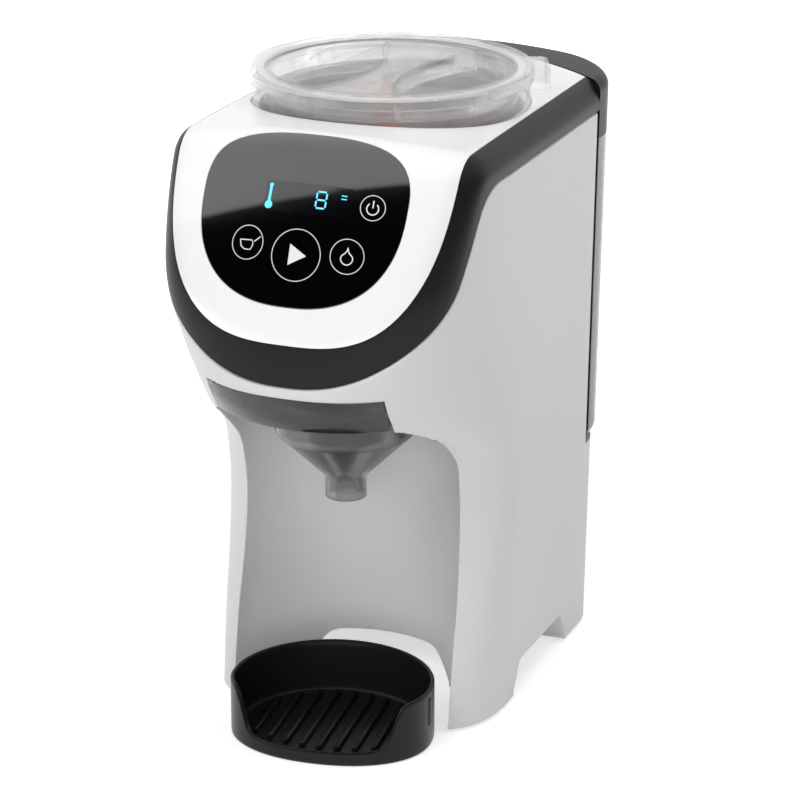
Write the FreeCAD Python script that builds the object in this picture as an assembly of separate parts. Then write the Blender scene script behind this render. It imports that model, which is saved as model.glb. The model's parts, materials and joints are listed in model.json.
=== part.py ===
"""Countertop baby formula maker: a powder hopper on top, a water tank behind, and a mixing funnel
that pours into a bottle standing on the drip tray.

Millimetres. X is across (mirror plane X = 0), the front faces -Y, Z is up. The origin is on the
surface that the machine stands on, under the middle of its depth.
"""
import FreeCAD, Part

import math
import os

from FreeCAD import Vector

# ---------------------------------------------------------------- driving dimensions
# body
BASE_HALF = 78.0        # half width of the body where it stands
BAND_HALF = 83.5        # half width at the lower edge of the trim band: the sides lean out to it
BAND_Z = 295.0          # height of that edge along the sides
FRONT_REACH = 123.0     # how far the nose reaches ahead of the straight sides
SIDE_Y = -14.0          # where the straight sides begin to round forwards
CHIN_Z = 177.3          # underside of the head, ceiling of the bottle bay
DECK_Z = 318.0          # top deck at the mirror plane
STAND = 1.5             # the rubber feet hold the body this far off the table
WALL = 3.5              # moulded wall of the body
SHOULDER_R = 12.0       # rounding between deck and sides
# deck and face
DECK_EDGE = 74.25       # half width of the white fascia
CROWN_DROP = 6.2        # the deck falls this much from the middle to its edge
FACE_HOLLOW = 310.0     # radius of the face in plan
FACE_R = 300.0          # radius of the face in profile
BEND_R = 20.0           # radius where deck turns into face
FACE_TOP = (-98.0, 308.0)
FACE_FOOT = (-132.4, 225.3)
FASCIA_T = 3.5
FASCIA_TURN = 238.8     # y + z where the fascia's sides begin to close in below
FASCIA_DROP = 146.1     # and how much y + z falls from there to its lowest edge
# bottle bay, arch and feet
BAY_R = 60.5
BAY_Y = -58.0
BAY_CORNER_R = 20.0
LINER_LIP = 8.0         # the housing folds this far round the bay's edge before the lining starts
ARCH_Z = 19.5
ARCH_FRONT_Y = -14.0
ARCH_REAR_Y = 68.0
FOOT_R = 6.5
FOOT_T = 2.6
# rear
SHELF_Z = 108.5         # the tank stands on this shelf
CRADLE_HALF = 66.0      # half width of the tank's cradle, let into the back of the housing
CRADLE_RIM = 12.0       # height of the housing's rim above it
BASE_REAR_Y = 130.5
BASE_REAR_R = 38.0
REAR_Y = 135.4          # back of the tank
REAR_R = 36.0
TANK_ARC_R = 198.0      # the body's curved back wall, in front of the tank
TANK_ARC_Y = 110.0      # and its rearmost point
TANK_GAP = 0.5
TANK_WALL = 2.2
TANK_FLOOR = 3.0
TANK_FOOT_R = 8.0
VALVE_Y = TANK_ARC_Y + 9.7
LID_SEAM_Z = 280.0      # tank below, tank lid above
# powder container
HOPPER_Y = 7.0
COLLAR_R = 71.0
HOPPER_R = 66.8
HOPPER_WALL = 2.3
HOPPER_FLOOR_Z = 236.4
HOPPER_TOP_Z = 328.5
LID_R = 73.0
LID_TOP_Z = 331.6
LID_SKIRT_Z = 325.0
LID_WALL = 1.8
LUG_ANGLE = 25.0
LUG_WIDTH = 25.0
LUG_REACH = 80.3
OUTLET_R = 9.5          # where a pocket of powder drops out of the hopper
OUTLET_DIST = 50.0
# drive
MODULE = 1.5
GEAR_TEETH = 36
PINION_TEETH = 12
GEAR_T = 6.0
MOTOR_R = 15.0
MOTOR_L = 47.0
FRAME_Z = 205.0
FRAME_T = 3.0
FRAME_FRONT_Y = -66.0
FRAME_REAR_Y = 62.0
FRAME_R = 42.0          # front corners of the frame plate
# funnel
FUNNEL_Y = -54.3
SPOUT_R = 10.7
SPOUT_Z = 119.2
CONE_FOOT_Z = 130.8
CONE_TOP_Z = 155.8
BOWL_R = 36.5
FUNNEL_WALL = 2.0
PLATE_HALF = 47.0
PLATE_TOP_Z = 196.5
# drip tray
TRAY_HALF = 59.7
TRAY_REACH = 65.0
TRAY_WALL = 2.5
TRAY_FRONT_H = 10.0
TRAY_SIDE_H = 33.0
RIB_COUNT = 9
RIB_PITCH = 10.0
RIB_W = 3.0
RIB_H = 2.5
# fits
GAP = 0.3               # between pieces that lift or slide apart
RUN = 0.05              # radial clearance of shafts that turn

# outline of the body's front, at rising heights: height, reach ahead of SIDE_Y, squareness
STATIONS = [
    (STAND, 60.5, 3.3),
    (0.25 * CHIN_Z, 54.0, 3.0),
    (0.42 * CHIN_Z, 46.5, 2.7),
    (0.63 * CHIN_Z, 43.5, 2.35),
    (0.78 * CHIN_Z, 48.0, 2.45),
    (0.89 * CHIN_Z, 72.0, 2.45),
    (CHIN_Z, FRONT_REACH - 13.5, 2.1),
    (CHIN_Z + 12.7, FRONT_REACH - 6.0, 2.25),
    (CHIN_Z + 34.7, FRONT_REACH - 1.5, 2.75),
    (CHIN_Z + 77.7, FRONT_REACH, 3.9),
    (DECK_Z + 27.0, FRONT_REACH, 4.0),
]


# ---------------------------------------------------------------- small makers
def box(x0, x1, y0, y1, z0, z1):
    return Part.makeBox(x1 - x0, y1 - y0, z1 - z0, Vector(x0, y0, z0))


def rod(r, x, y, z0, z1):
    """Upright cylinder."""
    return Part.makeCylinder(r, z1 - z0, Vector(x, y, z0))


def ring(r_out, r_in, x, y, z0, z1):
    return rod(r_out, x, y, z0, z1).cut(rod(r_in, x, y, z0 - 1, z1 + 1))


def turned(points, x, y):
    """Solid of revolution about an upright axis from a closed (radius, height) outline."""
    wire = Part.makePolygon([Vector(r, 0, z) for r, z in points + points[:1]])
    solid = Part.Face(wire).revolve(Vector(0, 0, 0), Vector(0, 0, 1), 360)
    solid.translate(Vector(x, y, 0))
    return solid


def line(a, b):
    return Part.LineSegment(a, b).toShape()


def rounded_wire(points, radii):
    """Closed wire through the points, each corner rounded by its radius (0 leaves it sharp)."""
    count = len(points)
    cuts = []
    for i, (corner, radius) in enumerate(zip(points, radii)):
        before = (points[i - 1] - corner).normalize()
        after = (points[(i + 1) % count] - corner).normalize()
        half_turn = before.getAngle(after) / 2
        if radius <= 0:
            cuts.append((corner, None, corner))
            continue
        along = radius / math.tan(half_turn)
        middle = (before + after).normalize()
        apex = corner + middle * (radius / math.sin(half_turn) - radius)
        cuts.append((corner + before * along, apex, corner + after * along))
    edges = []
    for i, (start, apex, end) in enumerate(cuts):
        if apex is not None:
            edges.append(Part.Arc(start, apex, end).toShape())
        following = cuts[(i + 1) % count][0]
        if end.distanceToPoint(following) > 1e-6:
            edges.append(line(end, following))
    return Part.Wire(edges)


def prism(points, radii, along):
    return Part.Face(rounded_wire(points, radii)).extrude(along)


def rounded_box(x0, x1, y0, y1, z0, z1, r_front, r_rear):
    """Upright box with its four upright edges rounded."""
    corners = [Vector(x0, y0, z0), Vector(x1, y0, z0), Vector(x1, y1, z0), Vector(x0, y1, z0)]
    return prism(corners, [r_front, r_front, r_rear, r_rear], Vector(0, 0, z1 - z0))


def fuse(*shapes):
    whole = shapes[0].multiFuse(list(shapes[1:])) if len(shapes) > 1 else shapes[0]
    return whole.removeSplitter()


def mirrored(shape):
    return shape.mirror(Vector(0, 0, 0), Vector(1, 0, 0))


def hose(points, bend, r_out, r_in):
    """Hose along straight runs joined by arcs of one bend radius, hollow where its ends take a barb."""
    edges = []
    start = points[0]
    for before, corner, after in zip(points, points[1:], points[2:]):
        back = (before - corner).normalize()
        ahead = (after - corner).normalize()
        half_turn = back.getAngle(ahead) / 2
        along = bend / math.tan(half_turn)
        apex = corner + (back + ahead).normalize() * (bend / math.sin(half_turn) - bend)
        edges.append(line(start, corner + back * along))
        edges.append(Part.Arc(corner + back * along, apex, corner + ahead * along).toShape())
        start = corner + ahead * along
    edges.append(line(start, points[-1]))
    path = Part.Wire(edges)
    section = Part.Wire(Part.makeCircle(r_out, points[0], points[1] - points[0]))
    solid = path.makePipeShell([section], True, True)
    for end, beside in ((points[0], points[1]), (points[-1], points[-2])):
        inwards = (beside - end).normalize()
        solid = solid.cut(Part.makeCylinder(r_in, 14, end - inwards, inwards))
    return solid


# ---------------------------------------------------------------- the body's outer form
def half_width(z):
    """Half width of the straight sides at a height."""
    return BASE_HALF + (BAND_HALF - BASE_HALF) * z / BAND_Z


def station(z, column):
    """Monotone cubic through one column of STATIONS."""
    zs = [s[0] for s in STATIONS]
    vs = [s[column] for s in STATIONS]
    steps = [b - a for a, b in zip(zs, zs[1:])]
    slopes = [(b - a) / h for a, b, h in zip(vs, vs[1:], steps)]
    ends = [slopes[0]]
    for left, right in zip(slopes, slopes[1:]):
        ends.append(0.0 if left * right <= 0 else 2 * left * right / (left + right))
    ends.append(slopes[-1])
    i = max([j for j in range(len(steps)) if zs[j] <= z] or [0])
    t = (z - zs[i]) / steps[i]
    return ((1 + 2 * t) * (1 - t) ** 2 * vs[i] + t * (1 - t) ** 2 * steps[i] * ends[i]
            + t * t * (3 - 2 * t) * vs[i + 1] + t * t * (t - 1) * steps[i] * ends[i + 1])


def half_superellipse(count, power):
    """Points (cos, sin) of the upper half of a unit superellipse, from +1 to -1."""
    points = []
    for i in range(count + 1):
        c, s = math.cos(math.pi * i / count), math.sin(math.pi * i / count)
        if i in (0, count):
            c, s = round(c), 0.0
        points.append((math.copysign(abs(c) ** (2 / power), c), abs(s) ** (2 / power)))
    return points


def outer_form(inset, z0, z1):
    """The body's plan outline swept up its height, moved inwards by inset."""
    levels = 26
    grid = []
    for j in range(levels + 1):
        z = z0 + (z1 - z0) * j / levels
        a = half_width(z) - inset
        b = station(z, 1) - inset
        outline = half_superellipse(20, station(z, 2))
        grid.append([Vector(a * c, SIDE_Y - b * s, z) for c, s in outline])
    surface = Part.BSplineSurface()
    surface.interpolate(grid)
    return surface.toShape().extrude(Vector(0, 250, 0))


def face_profile():
    """Deck, bend and face in the mirror plane, as (y, z) points from the rear to below the face."""
    (y0, z0), (y1, z1) = FACE_TOP, FACE_FOOT
    chord = math.hypot(y1 - y0, z1 - z0)
    height = math.sqrt(FACE_R ** 2 - chord ** 2 / 4)
    cy = (y0 + y1) / 2 - (z1 - z0) / chord * height
    cz = (z0 + z1) / 2 + (y1 - y0) / chord * height
    bend_z = DECK_Z - BEND_R
    bend_y = cy - math.sqrt((FACE_R - BEND_R) ** 2 - (bend_z - cz) ** 2)
    turn = math.atan2(bend_z - cz, bend_y - cy)
    points = [(250 - i * (250 - bend_y - 14) / 9, DECK_Z) for i in range(10)]
    for i in range(8):
        a = math.pi / 2 + (turn - math.pi / 2) * i / 7
        points.append((bend_y + BEND_R * math.cos(a), bend_z + BEND_R * math.sin(a)))
    for i in range(1, 9):
        a = turn + (math.radians(176) - turn) * i / 8
        points.append((cy + FACE_R * math.cos(a), cz + FACE_R * math.sin(a)))
    return points


def face_surface(depth):
    """Deck and face as one surface, bowed across its width, sunk by depth square to both."""
    shift = depth / math.sqrt(2)
    grid = []
    for i in range(-6, 7):
        x = 16.0 * i
        back = x * x / (2 * FACE_HOLLOW) + shift
        down = CROWN_DROP * (x / DECK_EDGE) ** 2 + shift
        grid.append([Vector(x, y + back, z - down) for y, z in face_profile()])
    surface = Part.BSplineSurface()
    surface.interpolate(grid)
    return surface.toShape()


def face_slab(depth0, depth1):
    """The layer of the face between two depths."""
    step = (depth1 - depth0) / math.sqrt(2)
    return face_surface(depth0).extrude(Vector(0, step, -step))


def above_face(depth):
    return face_surface(depth).extrude(Vector(0, -300, 300))


def round_shoulder(solid, radius):
    """Rounds the edge where the deck and face meet the sides and nose."""
    tops = []
    for face in solid.Faces:
        u0, u1, v0, v1 = face.ParameterRange
        if face.BoundBox.YLength > 200 and face.normalAt((u0 + u1) / 2, (v0 + v1) / 2).z > 0.3:
            tops.append(face)
    edges = [e for e in solid.Edges
             if any(e.isSame(g) for f in tops for g in f.Edges) and e.BoundBox.YMin < 100]
    return solid.makeFillet(radius, edges)


def tilted_prism(half, turn, drop, rise, power, grow=0.0):
    """Prism square to the 45 degree line between deck and face. Its outline in (x, y + z) is a
    superellipse of half width half below turn, falling by drop, and above it a straight strip
    (rise None) or another superellipse rising by rise."""
    root = math.sqrt(2)
    a = half + grow

    def place(x, w):
        return Vector(x, w / 2, w / 2) - Vector(0, -1, 1) * (400 / root)

    low = [place(a * c, turn - (drop + grow * root) * s) for c, s in half_superellipse(24, power)]
    curve = Part.BSplineCurve()
    curve.interpolate(low)
    edges = [curve.toShape()]
    if rise is None:
        far = turn + 500
        corners = [low[-1], place(-a, far), place(a, far), low[0]]
        edges += [line(p, q) for p, q in zip(corners, corners[1:])]
    else:
        up = [place(-a * c, turn + (rise + grow * root) * s) for c, s in half_superellipse(24, 2.8)]
        top = Part.BSplineCurve()
        top.interpolate(up)
        edges.append(top.toShape())
    return Part.Face(Part.Wire(edges)).extrude(Vector(0, -1, 1) * (800 / root))


def lens_prism(grow):
    return tilted_prism(53.4, 186.2, 72.0, 44.8, 2.4, grow)


def band_cut():
    """Everything above the trim band's lower edge, drawn in side view."""
    bend_y = SIDE_Y - 58.0
    waist = Vector(0, SIDE_Y - 84.7, CHIN_Z + 69.8)
    nose = Vector(0, SIDE_Y - 120.6, CHIN_Z + 24.6)
    points = [Vector(0, 250, BAND_Z), Vector(0, bend_y, BAND_Z), waist, nose,
              Vector(0, -250, nose.z), Vector(0, -250, 400), Vector(0, 250, 400)]
    points = [p + Vector(-120, 0, 0) for p in points]
    return prism(points, [0, 28, 60, 0, 0, 0, 0], Vector(240, 0, 0))


def arc_core(r_change, z0, z1):
    """Upright cylinder whose rear is the body's curved back wall."""
    return rod(TANK_ARC_R + r_change, 0, TANK_ARC_Y - TANK_ARC_R, z0, z1)


def rear_outline(half, inset, z, gap):
    """Closed plan outline of the tank: the curved front wall, short sides and rounded rear."""
    r_arc = TANK_ARC_R + gap
    cy = TANK_ARC_Y - TANK_ARC_R
    a = half - inset
    rear = REAR_Y - inset
    r = REAR_R - inset
    side_y = cy + math.sqrt(r_arc ** 2 - a ** 2)
    k = r * (1 - math.sqrt(0.5))
    left = [Vector(-a, side_y, z), Vector(-a, rear - r, z), Vector(-a + k, rear - k, z)]
    left.append(Vector(-a + r, rear, z))
    right = [Vector(-p.x, p.y, z) for p in left]
    return Part.Wire([
        Part.Arc(right[0], Vector(0, cy + r_arc, z), left[0]).toShape(),
        line(left[0], left[1]),
        Part.Arc(left[1], left[2], left[3]).toShape(),
        line(left[3], right[3]),
        Part.Arc(right[3], right[2], right[1]).toShape(),
        line(right[1], right[0]),
    ])


def tank_form(inset, gap, z0, z1):
    wires = [rear_outline(half_width(z), inset, z, gap) for z in (z0, z1)]
    return Part.makeLoft(wires, True, True)


def head_form():
    """Outer solid of the whole body, before the bay, arch and inside are cut."""
    solid = outer_form(0, STAND, DECK_Z + 22).cut(above_face(0))
    solid = max(solid.Solids, key=lambda s: s.Volume)
    solid = round_shoulder(solid, SHOULDER_R)
    base = rounded_box(-120, 120, -250, BASE_REAR_Y, 0, SHELF_Z, 0, 0)
    corner = half_width(SHELF_Z / 2)
    rear = rounded_box(-corner - 2, corner + 2, -250, BASE_REAR_Y, 0, SHELF_Z, 0, BASE_REAR_R)
    upper = arc_core(0, SHELF_Z - 1, 400)
    return solid.common(fuse(base.common(rear), upper))


def head_void():
    """Hollow of the head, above the bay's ceiling."""
    floor = CHIN_Z + WALL - 0.5
    solid = outer_form(WALL, STAND, DECK_Z + 22).cut(above_face(FASCIA_T))
    solid = max(solid.Solids, key=lambda s: s.Volume)
    solid = round_shoulder(solid, SHOULDER_R - WALL + 1)
    return solid.common(arc_core(-WALL, floor, 400))


def column_void():
    """Hollow of the column behind the bottle bay and of the rear base."""
    half = BASE_HALF - WALL
    front = BAY_Y + BAY_R + WALL
    floor = ARCH_Z + WALL - 0.5
    rear = BASE_REAR_Y - WALL
    r = BASE_REAR_R - WALL
    low = rounded_box(-half, half, front, rear, floor, SHELF_Z - WALL, 2, r)
    high = rounded_box(-half, half, front, 150, floor, CHIN_Z + WALL + 1, 2, 0)
    high = high.common(arc_core(-WALL, floor, CHIN_Z + WALL + 2))
    base = rounded_box(-half, half, ARCH_REAR_Y + WALL + 2, rear, STAND - 1, floor + 1, 2, r)
    return fuse(low, high, base)


def bay_cut():
    """The bottle bay: round behind, open in front, with a rounded ceiling edge."""
    tool = fuse(rod(BAY_R, 0, BAY_Y, -5, CHIN_Z), box(-BAY_R, BAY_R, -200, BAY_Y, -5, CHIN_Z))
    edges = [e for e in tool.Edges if e.BoundBox.ZMin > CHIN_Z - 0.01 and e.BoundBox.YMax > -199]
    return tool.makeFillet(BAY_CORNER_R, edges)


def arch_cut():
    lean = 9.0
    points = [Vector(-120, ARCH_FRONT_Y, -5), Vector(-120, ARCH_REAR_Y, -5),
              Vector(-120, ARCH_REAR_Y, STAND + 2), Vector(-120, ARCH_REAR_Y - lean, ARCH_Z),
              Vector(-120, ARCH_FRONT_Y + lean, ARCH_Z), Vector(-120, ARCH_FRONT_Y, STAND + 2)]
    return prism(points, [0, 0, 0, 5, 5, 0], Vector(240, 0, 0))


# ---------------------------------------------------------------- body shells
HEAD = head_form()
VOID = head_void()
BAND_CUT = band_cut()
FASCIA_PRISM = tilted_prism(DECK_EDGE, FASCIA_TURN, FASCIA_DROP, None, 2.8)
SLOT_HALF = BOWL_R + 2.0
FLANGE_Z = CHIN_Z + WALL - 0.5 + GAP
FRONT_FOOT = (67.0, -38.0)
REAR_FOOT = (55.0, 100.0)
BASE_SCREWS = [(BASE_HALF - WALL - 4.0, 86.0), (28.0, BASE_REAR_Y - WALL - 3.0)]
GLAND = (45.0, 26.0)    # x and height of the mains lead's gland in the rear wall
GLAND_R = 6.5


def body_shell():
    """The grey body in one, before its lining and the tank's cradle are parted from it."""
    shell = HEAD.cut(BAND_CUT)
    shell = shell.cut(fuse(column_void(), VOID))
    shell = shell.cut(bay_cut()).cut(arch_cut())
    top = half_width(FRAME_Z) - WALL + 1
    ledge = box(top - 7, top + 1.5, FRAME_FRONT_Y + FRAME_R, FRAME_REAR_Y, FRAME_Z - 5, FRAME_Z)
    bosses = []
    for x, y in BASE_SCREWS:
        bosses.append(rod(4.8, x, y, STAND + 2.5, ARCH_Z + 8))
    shell = fuse(shell, ledge, mirrored(ledge), *bosses, *[mirrored(b) for b in bosses])
    cuts = [
        box(-PLATE_HALF - GAP, PLATE_HALF + GAP, -150, SIDE_Y - 60, CHIN_Z - 1, PLATE_TOP_Z + GAP),
        box(-SLOT_HALF, SLOT_HALF, -150, FUNNEL_Y + SLOT_HALF + 0.5, CHIN_Z - 1, FLANGE_Z),
        rod(4.6, 0, VALVE_Y, SHELF_Z - WALL - 1, SHELF_Z + 1),
        Part.makeCylinder(GLAND_R + GAP, 20, Vector(GLAND[0], BASE_REAR_Y - 10, GLAND[1]), Vector(0, 1, 0)),
    ]
    for side in (-1, 1):
        cuts.append(rod(FOOT_R + 0.1, side * FRONT_FOOT[0], FRONT_FOOT[1], -1, FOOT_T))
        for x, y in BASE_SCREWS:
            cuts.append(rod(1.4, side * x, y, -1, ARCH_Z + 4))
    for cut in cuts:
        shell = shell.cut(cut)
    return max(shell.Solids, key=lambda s: s.Volume)


def liner_zone():
    """Where the bottle bay has a lining of its own, inside the lip that the housing folds round it."""
    r = BAY_R + WALL + 2
    top = CHIN_Z + WALL - 0.5
    zone = fuse(rod(r, 0, BAY_Y, 0, top), box(-r, r, -200, BAY_Y, 0, top))
    return zone.common(outer_form(LINER_LIP, STAND, top + 5))


def cradle_zone():
    top = BAND_Z - CRADLE_RIM
    return box(-CRADLE_HALF, CRADLE_HALF, FRAME_REAR_Y, REAR_Y, SHELF_Z - WALL, top)


SHELL = body_shell()


def main_housing():
    housing = SHELL.cut(liner_zone()).cut(cradle_zone())
    return max(housing.Solids, key=lambda s: s.Volume)


def bay_liner():
    """Rear wall, cheeks and ceiling strips of the bottle bay."""
    liner = SHELL.common(liner_zone())
    return max(liner.Solids, key=lambda s: s.Volume)


def tank_cradle():
    """Curved wall and shelf that the tank stands against and on."""
    cradle = SHELL.common(cradle_zone())
    return max(cradle.Solids, key=lambda s: s.Volume)


def trim_band():
    band = HEAD.common(BAND_CUT).cut(VOID).cut(FASCIA_PRISM)
    return max(band.Solids, key=lambda s: s.Volume)


def top_fascia():
    fascia = HEAD.common(BAND_CUT).cut(VOID).common(FASCIA_PRISM)
    fascia = fascia.cut(rod(COLLAR_R + 0.6, 0, HOPPER_Y, 250, 400))
    fascia = fascia.cut(face_slab(-2, 2.4).common(lens_prism(0.2)))
    fascia = fascia.cut(face_slab(-2, 12).common(lens_prism(-4.0)))
    return max(fascia.Solids, key=lambda s: s.Volume)


def panel_lens():
    return face_slab(0, 2.2).common(lens_prism(0))


def touch_board():
    return face_slab(2.5, 4.0).common(lens_prism(-5.0))


def lcd_module():
    """Display block behind the lens, square to the face."""
    block = tilted_prism(24.0, 190.0, 19.0, 19.0, 8.0)
    return face_slab(4.3, 10.0).common(block)


def base_plate():
    half = BASE_HALF - WALL - GAP
    r = BASE_REAR_R - WALL - GAP
    front = ARCH_REAR_Y + WALL + 2 + GAP
    plate = rounded_box(-half, half, front, BASE_REAR_Y - WALL - GAP, STAND, STAND + 2.5 - GAP, 2, r)
    for side in (-1, 1):
        for x, y in BASE_SCREWS:
            plate = plate.cut(rod(1.6, side * x, y, 0, 10))
        plate = plate.cut(rod(FOOT_R + 0.1, side * REAR_FOOT[0], REAR_FOOT[1], -1, FOOT_T))
    return plate


def base_screws():
    screws = []
    for side in (-1, 1):
        for x, y in BASE_SCREWS:
            head = rod(3.0, side * x, y, STAND - 1.2, STAND)
            shank = rod(1.3, side * x, y, STAND, ARCH_Z)
            screws.append(head.fuse(shank).removeSplitter())
    return Part.makeCompound(screws)


def rubber_feet():
    feet = []
    for side in (-1, 1):
        for x, y in (FRONT_FOOT, REAR_FOOT):
            feet.append(rod(FOOT_R, side * x, y, 0, FOOT_T))
    return Part.makeCompound(feet)


def cord_gland():
    """Bush of the mains lead in the rear wall."""
    x, z = GLAND
    across = Vector(0, 1, 0)
    body = Part.makeCylinder(GLAND_R, WALL + 4, Vector(x, BASE_REAR_Y - WALL - 4, z), across)
    flange = Part.makeCylinder(GLAND_R + 3, 2.5, Vector(x, BASE_REAR_Y, z), across)
    hole = Part.makeCylinder(3.5, 30, Vector(x, BASE_REAR_Y - 20, z), across)
    return fuse(body, flange).cut(hole)


# ---------------------------------------------------------------- powder container and dosing
def container_seat():
    """White cup under the deck that the powder container drops into."""
    cup_r = HOPPER_R + 1.0
    floor = HOPPER_FLOOR_Z - 3.0
    ledge_z = CHIN_Z + 134.0
    cup = ring(cup_r + 3, cup_r, 0, HOPPER_Y, floor, ledge_z)
    base = rod(cup_r + 3, 0, HOPPER_Y, floor, floor + 2.7)
    flange = ring(COLLAR_R + 3.5, cup_r, 0, HOPPER_Y, ledge_z - 6, DECK_Z)
    flange = flange.common(VOID).cut(rod(COLLAR_R + 0.6, 0, HOPPER_Y, ledge_z, 400))
    seat = fuse(cup, base, flange)
    seat = seat.cut(rod(9.0, 0, HOPPER_Y, floor - 1, floor + 5))
    return seat.cut(rod(OUTLET_R + 1.5, 0, HOPPER_Y - OUTLET_DIST, floor - 1, floor + 5))


def powder_container():
    ledge_z = CHIN_Z + 134.0 + GAP
    inner = HOPPER_R - HOPPER_WALL
    wall = turned([
        (inner, HOPPER_FLOOR_Z + 6), (HOPPER_R, HOPPER_FLOOR_Z + 6), (HOPPER_R, ledge_z),
        (COLLAR_R, ledge_z), (COLLAR_R, LID_SKIRT_Z - 0.5), (COLLAR_R - 2, LID_SKIRT_Z - 0.5),
        (COLLAR_R - 2, HOPPER_TOP_Z), (inner, HOPPER_TOP_Z)], 0, HOPPER_Y)
    ribs = []
    for i in range(4):
        a = math.radians(45 + 90 * i)
        ribs.append(rod(1.6, COLLAR_R * 0.972 * math.cos(a), HOPPER_Y + COLLAR_R * 0.972 * math.sin(a),
                        LID_SKIRT_Z - 1, HOPPER_TOP_Z - 1))
    return fuse(wall, *ribs)


def container_base():
    inner = HOPPER_R - HOPPER_WALL - GAP
    bore = 8.0 + RUN * 2
    z = HOPPER_FLOOR_Z
    plate = turned([(bore, z), (HOPPER_R, z), (HOPPER_R, z + 5.7), (inner, z + 5.7), (inner, z + 9.5),
                    (bore, z + 9.5)], 0, HOPPER_Y)
    return plate.cut(rod(OUTLET_R, 0, HOPPER_Y - OUTLET_DIST, HOPPER_FLOOR_Z - 1, HOPPER_FLOOR_Z + 12))


DISC_Z = HOPPER_FLOOR_Z + 9.5 + GAP
DISC_T = 8.0
WIPER_Z = DISC_Z + DISC_T + GAP
WIPER_T = 2.2


def dosing_disc():
    """Turning disc whose pockets carry one measure of powder each to the outlet."""
    disc = ring(HOPPER_R - HOPPER_WALL - 0.8, 8.0 + RUN, 0, HOPPER_Y, DISC_Z, DISC_Z + DISC_T)
    for i in range(8):
        a = math.radians(22.5 + 45 * i)
        x, y = OUTLET_DIST * math.cos(a), HOPPER_Y + OUTLET_DIST * math.sin(a)
        disc = disc.cut(rod(OUTLET_R - 0.5, x, y, DISC_Z - 1, DISC_Z + DISC_T + 1))
    return disc


def powder_wiper():
    """Fixed strip that covers the pocket above the outlet and strikes it level."""
    r = HOPPER_R - HOPPER_WALL - 0.1
    strip = box(-15, 15, HOPPER_Y - r - 1, HOPPER_Y - 16, WIPER_Z, WIPER_Z + WIPER_T)
    return strip.common(rod(r, 0, HOPPER_Y, WIPER_Z - 1, WIPER_Z + WIPER_T + 1))


def mixing_wheel():
    """Hub with three curved arms that keep the powder loose."""
    low = HOPPER_FLOOR_Z + GAP
    hub = fuse(rod(8.0, 0, HOPPER_Y, low, WIPER_Z + WIPER_T + 2),
               rod(11.0, 0, HOPPER_Y, DISC_Z + DISC_T + GAP, WIPER_Z + 30))
    arms = []
    z0 = WIPER_Z + WIPER_T + 0.5
    for i in range(3):
        outline = []
        for side in (-1.3, 1.3):
            row = []
            for j in range(9):
                r = 9 + 50.0 * j / 8
                a = math.radians(120 * i + 20 + 42 * (j / 8) ** 1.3)
                c, s = math.cos(a), math.sin(a)
                row.append(Vector(r * c - side * s, HOPPER_Y + r * s + side * c, z0))
            outline.append(row)
        curves = []
        for row in outline:
            curve = Part.BSplineCurve()
            curve.interpolate(row)
            curves.append(curve.toShape())
        ends = [line(outline[0][0], outline[1][0]), line(outline[0][-1], outline[1][-1])]
        face = Part.Face(Part.Wire(Part.__sortEdges__(curves + ends)))
        blade = face.extrude(Vector(0, 0, 36))
        arms.append(blade)
    top = turned([(0, z0 + 20), (11, z0 + 27), (60, z0 + 10), (60, z0 + 60), (0, z0 + 60)], 0, HOPPER_Y)
    wheel = fuse(hub, *arms).cut(top)
    return wheel.cut(hexagon(6.3, low - 1, 12))


def hexagon(radius, z, height):
    """Upright six-sided prism on the hopper's axis."""
    corners = []
    for i in range(6):
        a = math.radians(60 * i)
        corners.append(Vector(radius * math.cos(a), HOPPER_Y + radius * math.sin(a), z))
    return prism(corners, [0] * 6, Vector(0, 0, height))


def container_lid():
    """Clear lid: rim and skirt, a sunk floor, and a grip bar from front to back."""
    inner = HOPPER_R - HOPPER_WALL - GAP
    floor = LID_TOP_Z - 14.5
    under = LID_TOP_Z - LID_WALL
    shell = turned([
        (0, floor), (inner, floor), (inner, under), (COLLAR_R + GAP, under), (COLLAR_R + GAP, LID_SKIRT_Z),
        (LID_R, LID_SKIRT_Z), (LID_R, LID_TOP_Z - 1.2), (LID_R - 1.2, LID_TOP_Z), (inner - 0.8, LID_TOP_Z),
        (inner - LID_WALL, LID_TOP_Z - 1), (inner - LID_WALL, floor + LID_WALL), (0, floor + LID_WALL),
    ], 0, HOPPER_Y)

    def bar(shrink, z0, z1):
        end, waist, reach = 27.0 - shrink, 9.0 - shrink, inner - 1.0 - shrink
        corners = [(end, -reach), (waist, 0), (end, reach)]
        points = [Vector(x, HOPPER_Y + y, z0) for x, y in corners]
        points += [Vector(-x, HOPPER_Y + y, z0) for x, y in reversed(corners)]
        solid = prism(points, [0, 60, 0, 0, 60, 0], Vector(0, 0, z1 - z0))
        return solid.common(rod(inner - shrink - 0.5, 0, HOPPER_Y, z0 - 1, z1 + 1))

    grip = bar(0, floor + 0.5, LID_TOP_Z - 2.0)
    angle = math.radians(LUG_ANGLE)
    lug = box(COLLAR_R + 0.6, LUG_REACH, -LUG_WIDTH / 2, LUG_WIDTH / 2, DECK_Z + 0.8, LID_TOP_Z)
    lug = lug.cut(rod(COLLAR_R + GAP, 0, 0, 0, 400))
    edges = [e for e in lug.Edges if e.BoundBox.XMin > LUG_REACH - 0.01 and e.BoundBox.ZLength > 5]
    lug = lug.makeFillet(3.0, edges)
    lug.rotate(Vector(0, 0, 0), Vector(0, 0, 1), math.degrees(angle))
    lug.translate(Vector(0, HOPPER_Y, 0))
    lid = fuse(shell, grip, lug)
    return lid.cut(bar(LID_WALL, floor - 1, LID_TOP_Z - 2.0 - LID_WALL))


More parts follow.
